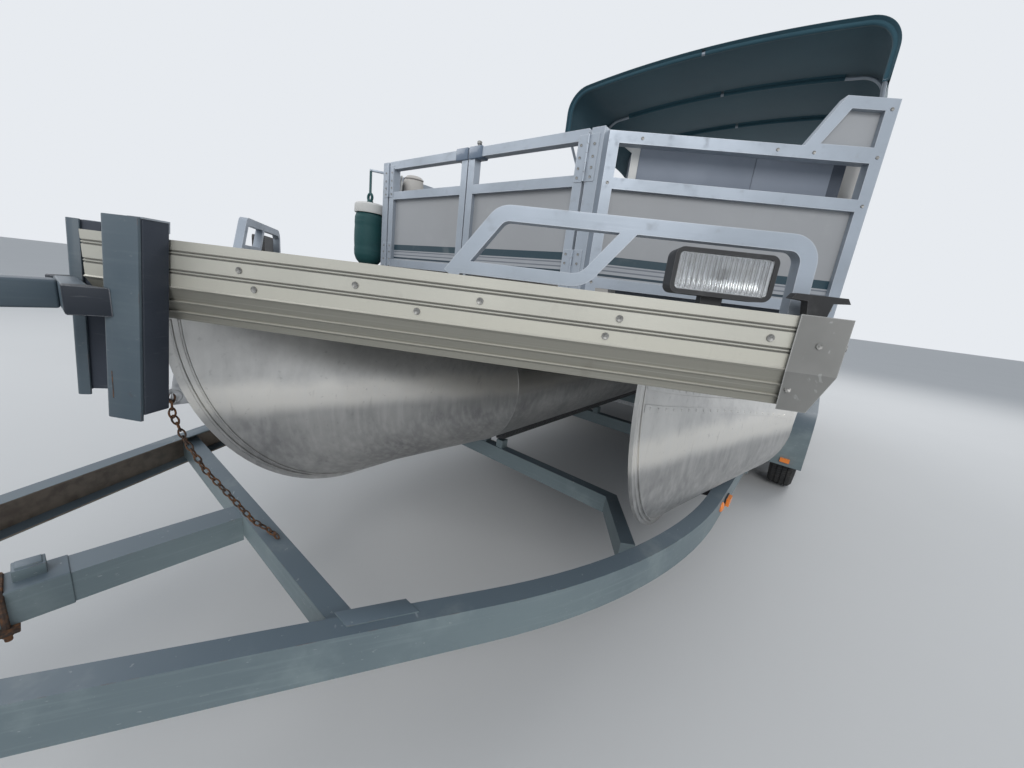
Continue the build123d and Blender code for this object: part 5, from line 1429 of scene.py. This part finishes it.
def winch_stand():
    """The post on the tongue, the arm and cross bar that carry the guides, and the brace."""
    parts = [rounded(block(name, (-x, aft(POST_Y) - y, low), (x, aft(POST_Y) + y, high)), edge * MM, steps)
             for name, x, y, low, high, edge, steps in (
                 ("base", 0.052, 0.056, 0.5652, 0.573, 2, 2),
                 ("post", 0.038, 0.038, 0.572, 1.200, 7, 3),
                 ("cap", 0.040, 0.040, 1.1985, 1.204, 2.5, 2))]
    half, post_rear, bar_front = 0.027, POST_Y + 0.030, -0.040
    arm = [(post_rear, ARM_FRONT - half), (bar_front, ARM_REAR - half), (bar_front, ARM_REAR + half),
           (post_rear, ARM_FRONT + half)]
    brace = [(-0.590, 1.020), (-0.590, 1.080), (-0.200, 0.5655), (-0.260, 0.5655)]
    for name, x, side, edge in (("arm", 0.030, arm, 5), ("brace", 0.020, brace, 4)):
        part = cut_out(name, [(-x, aft(y), z) for y, z in side], (2 * x, 0, 0))
        parts.append(rounded(part, edge * MM, 3))
    bar = block("bar", (-0.108, aft(bar_front), ARM_REAR - half), (0.108, aft(-0.004), ARM_REAR + half))
    parts.append(rounded(bar, 4 * MM, 2))
    knees = []
    for way, slip in ((1, 0), (-1, GUIDE_SHIFT[1])):
        plan = [(0.096, bar_front), (0.128, bar_front + slip * 0.4), (0.1495, 0.0200 + slip),
                (0.1290, 0.0082 + slip), (0.096, -0.004)]
        knee = cut_out("knee", [(way * x, aft(y), ARM_REAR - half) for x, y in plan], (0, 0, 2 * half))
        knees.append(rounded(knee, 3 * MM, 2))
    stands_for = ("winch_stand",)
    # the winch post gets the enamel darkened by painted shade
    dress(joined("winch_post", parts), "trailer_paint", ROOT, stands_for, finish=SHADED_GUIDE_PAINT)
    # the knees are near-black: painted shade
    dress(joined("guide_knees", knees), "trailer_paint", ROOT, stands_for, finish=KNEE_SHADE)
    foot = [at(x, aft(POST_Y) + y, 0.573) @ spin(pi / 2, "X")
            for x in (-0.045, 0.045) for y in (-0.048, 0.048)]
    head = [at(side * 0.038, aft(POST_Y) + y, ARM_FRONT) @ spin(side * pi / 2)
            for side in (1, -1) for y in (-0.020, 0.020)]
    nut = cylinder("nut", 6, 0.009, 0.008, rotation=(pi / 2, 0, 0))
    dress(copies("winch_post_bolts", rounded(nut, 1 * MM, 1, 50), foot + head), "zinc", finish=SCREW)


def winch():
    """Two cheeks, the drum with its strap wound on, the gear cover and the crank."""
    def on_axle(name, profile, steps, centre=DRUM):
        return turned(name, profile, centre, PORT, steps)

    plate = rounded(block("plate", (-0.060, aft(-0.582), 1.1915), (0.060, aft(-0.470), 1.2050)), 2 * MM, 2)
    turns = [radians(20 + 140 * k / 8) for k in range(9)]
    cheek = [(0.055, -0.046), *[(0.052 * cos(a), 0.052 * sin(a) - 0.002) for a in turns], (-0.055, -0.046)]
    cheeks = [cut_out("cheek", [(x, DRUM.y + y, DRUM.z + z) for y, z in cheek], (0.005, 0, 0))
              for x in (-0.060, 0.055)]
    for one in cheeks:
        rounded(one, 1.5 * MM, 2)
    axle = on_axle("axle", [(-0.068, 0), (-0.068, 0.009), (0.112, 0.009), (0.112, 0)], 20)
    rims = [on_axle("rim", [(x, 0), (x, 0.044), (x + 0.003, 0.044), (x + 0.003, 0)], 36)
            for x in (-0.050, 0.047)]
    cover = [(0.060, 0), (0.060, 0.040), (0.066, 0.043), (0.076, 0.040), (0.080, 0.030), (0.080, 0)]
    lever = block("lever", (0.090, DRUM.y - 0.011, DRUM.z - 0.190), (0.097, DRUM.y + 0.011, DRUM.z + 0.014))
    parts = [plate, *cheeks, axle, *rims, on_axle("gear", cover, 32), rounded(lever, 3 * MM, 3)]
    dress(joined("winch", parts), "zinc", ROOT, ("winch_stand",))
    wound = [(-0.046, 0), (-0.046, 0.030)]
    for k in range(7):
        left = -0.044 + 0.0135 * k
        wound += [(left, 0.0345 + 0.0006 * (k % 2)), (left + 0.009, 0.0335)]
    dress(on_axle("winch_strap", [*wound, (0.046, 0.030), (0.046, 0)], 36), "carpet")
    grip = [(0.097, 0), (0.097, 0.010), (0.104, 0.0135), (0.130, 0.0145), (0.155, 0.0135), (0.166, 0.0115),
            (0.166, 0)]
    handle = on_axle("winch_handle", grip, 24, DRUM + Vector((0, 0, -0.180)))
    dress(handle, "black_plastic", smooth=60)


# Trailer fittings
TONGUE_LOW, TONGUE_HIGH, TONGUE_HALF = 0.490, 0.565, 0.0375


def tongue_clamp():
    """Two bent rods over the tongue, bolted to a plate under it."""
    y, shifts = aft(-0.205), (-0.022, 0.022)
    reach, low, high, bend = TONGUE_HALF + 0.007, TONGUE_LOW - 0.030, TONGUE_HIGH + 0.007, 0.014
    half = [(reach, low), (reach, high - bend), (reach - bend, high)]
    loop = [(-x, z) for x, z in half] + half[::-1]
    rods = [tube("clamp_rod", [(x, y + shift, z) for x, z in loop], 0.006, sides=2, smooth=False)
            for shift in shifts]
    plate = block("clamp_plate", (-0.062, y - 0.040, TONGUE_LOW - 0.009),
                  (0.062, y + 0.040, TONGUE_LOW - 0.001))
    rounded(plate, 2 * MM, 2)
    nut = rounded(cylinder("nut", 6, 0.0105, 0.009), 1.2 * MM, 1, 50)
    spots = [at(side * reach, y + shift, TONGUE_LOW - 0.0145) for side in (1, -1) for shift in shifts]
    dress(joined("tongue_clamp", [plate, *rods, copies("nuts", nut, spots)]), "zinc", finish=RUST)


def tongue_fittings():
    """A clamp, a sleeve with its welded end and a pin box on the tongue."""
    tongue_clamp()
    sleeve = block("tongue_sleeve", (-0.0405, aft(-0.540), TONGUE_LOW - 0.003),
                   (0.0405, aft(-0.086), TONGUE_HIGH + 0.003))
    pick(sleeve, lambda spot, out: abs(out.y) > 0.5)
    bpy.ops.mesh.inset(thickness=0.004)
    bpy.ops.transform.resize(value=(1, 0.997, 1))
    dress(rounded(leave(sleeve), 3 * MM, 3), "trailer_paint")
    box = block("pin_box", (-0.030, aft(-0.166), TONGUE_HIGH + 0.002),
                (0.010, aft(-0.118), TONGUE_HIGH + 0.028))
    panelled(box, UP, [0.005], (0, 0, 0.004), extrude=True)
    dress(rounded(box, 1.6 * MM, 2), "trailer_paint")


def rail_gussets():
    """A welded plate over the joint of each side rail with the first member."""
    outline = [(0.556, 0.245), (0.604, 0.245), (0.673, 0.370), (0.625, 0.370)]
    plate = cut_out("rail_gusset", [(x, aft(y), 0.5995) for x, y in outline], (0, 0, 0.004))
    both_sides(rounded(plate, 1.2 * MM, 2), "rail_gusset", "trailer_paint")


def trailer_lights():
    """Red covers and dark bezels on the tail lamps, a dark base behind each amber marker."""
    lamp_y, marker_y = aft(6.250), aft(1.650)
    cover = block("tail_lens", (0.8825, lamp_y + 0.004, 0.4955), (1.0375, lamp_y + 0.0295, 0.5805))
    panelled(cover, AFT, [0.010], (0, 0.003, 0))
    both_sides(rounded(cover, 3 * MM, 3), "tail_lens", "lamp", finish=RED_LENS)
    bezel = block("tail_bezel", (0.878, lamp_y - 0.004, 0.491), (1.042, lamp_y + 0.012, 0.585))
    both_sides(rounded(bezel, 4 * MM, 3), "tail_bezel", "black_plastic")
    base = block("marker_base", (1.0405, marker_y - 0.036, 0.5325), (1.0465, marker_y + 0.036, 0.5685))
    both_sides(rounded(base, 2.4 * MM, 3), "marker_base", "black_plastic")
    lens = start(bpy.ops.mesh.primitive_uv_sphere_add, "marker_dome", segments=24, ring_count=12,
                 radius=0.021)
    lens.data.transform(at(1.0415, aft(1.560), 0.552) @ Matrix.Scale(0.45, 4, PORT))
    both_sides(lens, "marker_dome", "lamp", smooth=60)


def wheel_caps():
    """A pressed grease cap over each hub."""
    profile = [(-0.004, 0.0), (-0.004, 0.029), (0.002, 0.031), (0.004, 0.028),
               (0.019, 0.027), (0.024, 0.022), (0.026, 0.012), (0.026, 0.0)]
    for side, name in ((1, "port"), (-1, "starboard")):
        for place, y in AXLES.items():
            hub = (side * 1.2285, aft(y), WHEEL_Z)
            cap = turned(f"hub_cap_{name}_{place}", profile, hub, (side, 0, 0), 28)
            dress(cap, "zinc", f"wheel_{name}_{place}")


def spring_fittings():
    """U-bolts over each axle's spring, with their saddle."""
    saddle = rounded(block("saddle", (0.975, -0.050, 0.352), (1.055, 0.050, 0.362)), 3 * MM, 2)
    rods = [tube("rod", [(x, y, 0.268), (x, y, 0.376)], 0.006, sides=2, smooth=False)
            for x in (0.988, 1.042) for y in (-0.034, 0.034)]
    one = joined("spring_bolts", [saddle, *rods])
    piece = copies("spring_bolts", one, [at(0, aft(y), 0) for y in AXLES.values()])
    both_sides(piece, "spring_bolts", "zinc")


# Helm
DASH_TURN = atan2(0.060, 0.180)


def dash():
    """Gauges and switches on the helm's dash."""
    place = at(-0.760, aft(3.955), FLOOR_Z + 0.7895) @ spin(-DASH_TURN, "X")
    fascia = block("dash_panel", (-0.235, -0.070, 0.0), (0.235, 0.062, 0.005), place)
    dress(rounded(fascia, 1.5 * MM, 2), "black_plastic")
    profile = [(0, 0), (0.0005, 0.024), (0.0005, 0.027), (0.006, 0.0285), (0.008, 0.027), (0.008, 0.0245),
               (0.0045, 0.0235), (0.0045, 0)]
    gauge = turned("gauge", profile, (0, 0, 0.0045), UP, 32)
    needle = rounded(block("needle", (-0.0008, -0.004, 0.0092), (0.0008, 0.019, 0.0100)), 0.3 * MM, 1)
    switch = block("switch", (-0.009, -0.014, 0.004), (0.009, 0.014, 0.010))
    pick(switch, lambda spot, out: out.z > 0.5)
    bpy.ops.mesh.inset(thickness=0.003)
    bpy.ops.transform.rotate(value=radians(9), orient_axis="X", center_override=(0, 0, 0.010))
    rounded(leave(switch), 1.2 * MM, 2)
    spots = [place @ at(x, 0.012, 0) for x in (-0.165, -0.098, 0.098, 0.165)]
    dress(copies("gauge_bezels", gauge, spots), "black_plastic", finish=SCREW)
    turns = [spot @ spin(radians(a)) for spot, a in zip(spots, (110, 60, 130, 40))]
    dress(copies("gauge_needles", needle, turns), "black_plastic", finish=RED_LENS)
    spots = [place @ at(x, 0.012, 0) for x in (-0.045, -0.015, 0.015, 0.045)]
    dress(copies("dash_switches", switch, spots), "seat_shell")


def windscreen():
    """A low curved screen of smoky acrylic in front of the dash."""
    def place(share, rise):
        across = share * 2 - 1
        bow = 1 - across * across
        return (-0.830 + across * (0.262 - 0.030 * rise), aft(3.752 + 0.060 * rise - 0.050 * bow),
                FLOOR_Z + 0.735 + 0.190 * rise * (0.80 + 0.20 * bow))

    dress(thickened(grid("windscreen", 24, 8, place), 5), "lens", smooth=50, finish=acrylic())


def throttle():
    """The throttle's box on the console's side, with its lever and knob."""
    box = block("throttle_box", (-0.531, aft(3.860), FLOOR_Z + 0.500),
                (-0.490, aft(3.960), FLOOR_Z + 0.640))
    dress(rounded(box, 9 * MM, 3), "black_plastic")
    line = [(x, aft(y), FLOOR_Z + z) for x, y, z in (
        (-0.482, 3.910, 0.570), (-0.474, 3.905, 0.620), (-0.480, 3.890, 0.700), (-0.520, 3.885, 0.735))]
    lever = tube("throttle_lever", line, 0.0085, sides=3)
    profile = [(-0.030, 0), (-0.028, 0.012), (-0.015, 0.017), (0.012, 0.017), (0.026, 0.011), (0.030, 0)]
    knob = turned("throttle_knob", profile, (-0.520, aft(3.885), FLOOR_Z + 0.738), PORT, 20)
    hub = turned("throttle_hub", [(0, 0), (0, 0.026), (0.012, 0.026), (0.016, 0.020), (0.016, 0)],
                 (-0.492, aft(3.910), FLOOR_Z + 0.570), PORT, 24)
    dress(joined("throttle_lever", [lever, hub]), "rail_alloy", smooth=50, finish=SCREW)
    dress(knob, "black_plastic", smooth=60)


def wheel_cap():
    """The cap in the middle of the steering wheel, which leans back."""
    tilt = radians(30)
    axis = Vector((0, cos(tilt), sin(tilt)))
    centre = Vector((-0.760, aft(4.150), FLOOR_Z + 0.740)) + axis * 0.002
    profile = [(-0.002, 0), (-0.002, 0.036), (0.004, 0.038), (0.009, 0.034), (0.012, 0.020), (0.013, 0)]
    cap = turned("wheel_cap", profile, centre, axis, 32)
    dress(cap, "black_plastic", "helm_wheel", smooth=50, finish=SCREW)


# Outboard
def motor_details():
    """The cowl's latch and its air slots."""
    rear = aft(COWL_REAR)
    latch = block("cowl_latch", (-0.030, rear - 0.012, 1.400), (0.030, rear + 0.003, 1.428))
    dress(rounded(latch, 4 * MM, 3), "motor_paint", "motor", finish=SCREW)
    slots = []
    for k in range(5):
        z = 1.600 + 0.018 * k
        slot = block("slot", (-0.085, rear - 0.042, z), (0.085, rear - 0.0125 - 0.003 * k, z + 0.008))
        slots.append(rounded(slot, 2 * MM, 2))
    dress(joined("cowl_slots", slots), "motor_paint", "motor", finish=FINISH["black_plastic"])


# Studio
LAMPS = (          # place, size and power of each soft lamp; all point at the deck
    ((5.5, -9.0, 6.5), 5.0, 420),
    ((-7.0, -6.0, 7.0), 6.0, 260),
    ((3.0, 8.0, 8.0), 6.0, 420),
)


def studio():
    """A pale floor, pale surroundings and soft lamps."""
    bpy.ops.mesh.primitive_plane_add(size=160, location=(0, 0, -2 * MM))
    floor = bpy.context.object
    floor.name = "studio_floor"
    p = Paint("floor_paint")
    p.color = p.mix(p.noise(0.6, 4.0), (0.60, 0.60, 0.595), (0.64, 0.64, 0.635))
    floor.data.materials.append(p.surface(0.85))
    world = bpy.data.worlds.new("studio_air")
    bpy.context.scene.world = world
    air = Nodes(world)
    straight, through, glossy = [air.node("ShaderNodeLightPath", output=f"Is {kind} Ray")
                                 for kind in ("Camera", "Transmission", "Glossy")]
    light = air.node("ShaderNodeBackground", None, ((0.82, 0.90, 1.0, 1), 0.55))
    shown = air.node("ShaderNodeBackground", None, ((0.80, 0.83, 0.87, 1), 1.0))
    mixed = air.node("ShaderNodeMixShader", None, (straight.most(through.most(glossy)), light, shown))
    air.node("ShaderNodeOutputWorld", None, (mixed,))
    for place, size, power in LAMPS:
        bpy.ops.object.light_add(type="AREA", location=place)
        lamp = bpy.context.object
        lamp.data.size, lamp.data.energy = size, power
        lamp.rotation_euler = (Vector((0, 0, 1.2)) - Vector(place)).to_track_quat("-Z", "Y").to_euler()


# Camera, solved from the photograph
FOCAL_PX, FRAME_PX, SENSOR = 386.2, 1024, 36.0
EYE = Vector((1.194, -0.083, -0.013))
YAW, PITCH, ROLL = radians(37.634), radians(13.772), radians(7.007)


def camera():
    """The photograph's own camera."""
    forward = Vector((-sin(YAW) * cos(PITCH), cos(YAW) * cos(PITCH), -sin(PITCH)))
    level = forward.cross(UP).normalized()
    upright = level.cross(forward)
    right = level * cos(ROLL) + upright * sin(ROLL)
    up = upright * cos(ROLL) - level * sin(ROLL)
    turn = Matrix((right, up, -forward)).transposed().to_4x4()
    bpy.ops.object.camera_add()
    eye = bpy.context.object
    eye.matrix_world = at(*(EYE + Vector((0, TIP_Y, DECK_Z)))) @ turn
    eye.data.sensor_width, eye.data.lens = SENSOR, FOCAL_PX / FRAME_PX * SENSOR
    eye.data.clip_start, eye.data.clip_end = 0.02, 400
    bpy.context.scene.camera = eye
    bpy.context.scene.view_settings.view_transform = "Standard"


dress_frame()
for tube_name, tube_x, tube_lag in TUBES:
    stem_seams(tube_name, tube_x, tube_lag)
    barrel_seams(tube_name, tube_x, tube_lag)
for build in (
        sunshade, seat_cushions, back_boards, captain_chair, hull_fender, docking_lights, bow_edge_screws,
        fence_screws, gate_latch, strakes, bow_eye, safety_chain, bow_guides, winch_stand, winch,
        tongue_fittings, rail_gussets, trailer_lights, wheel_caps, spring_fittings, dash, windscreen,
        throttle, wheel_cap, motor_details, studio, camera):
    build()
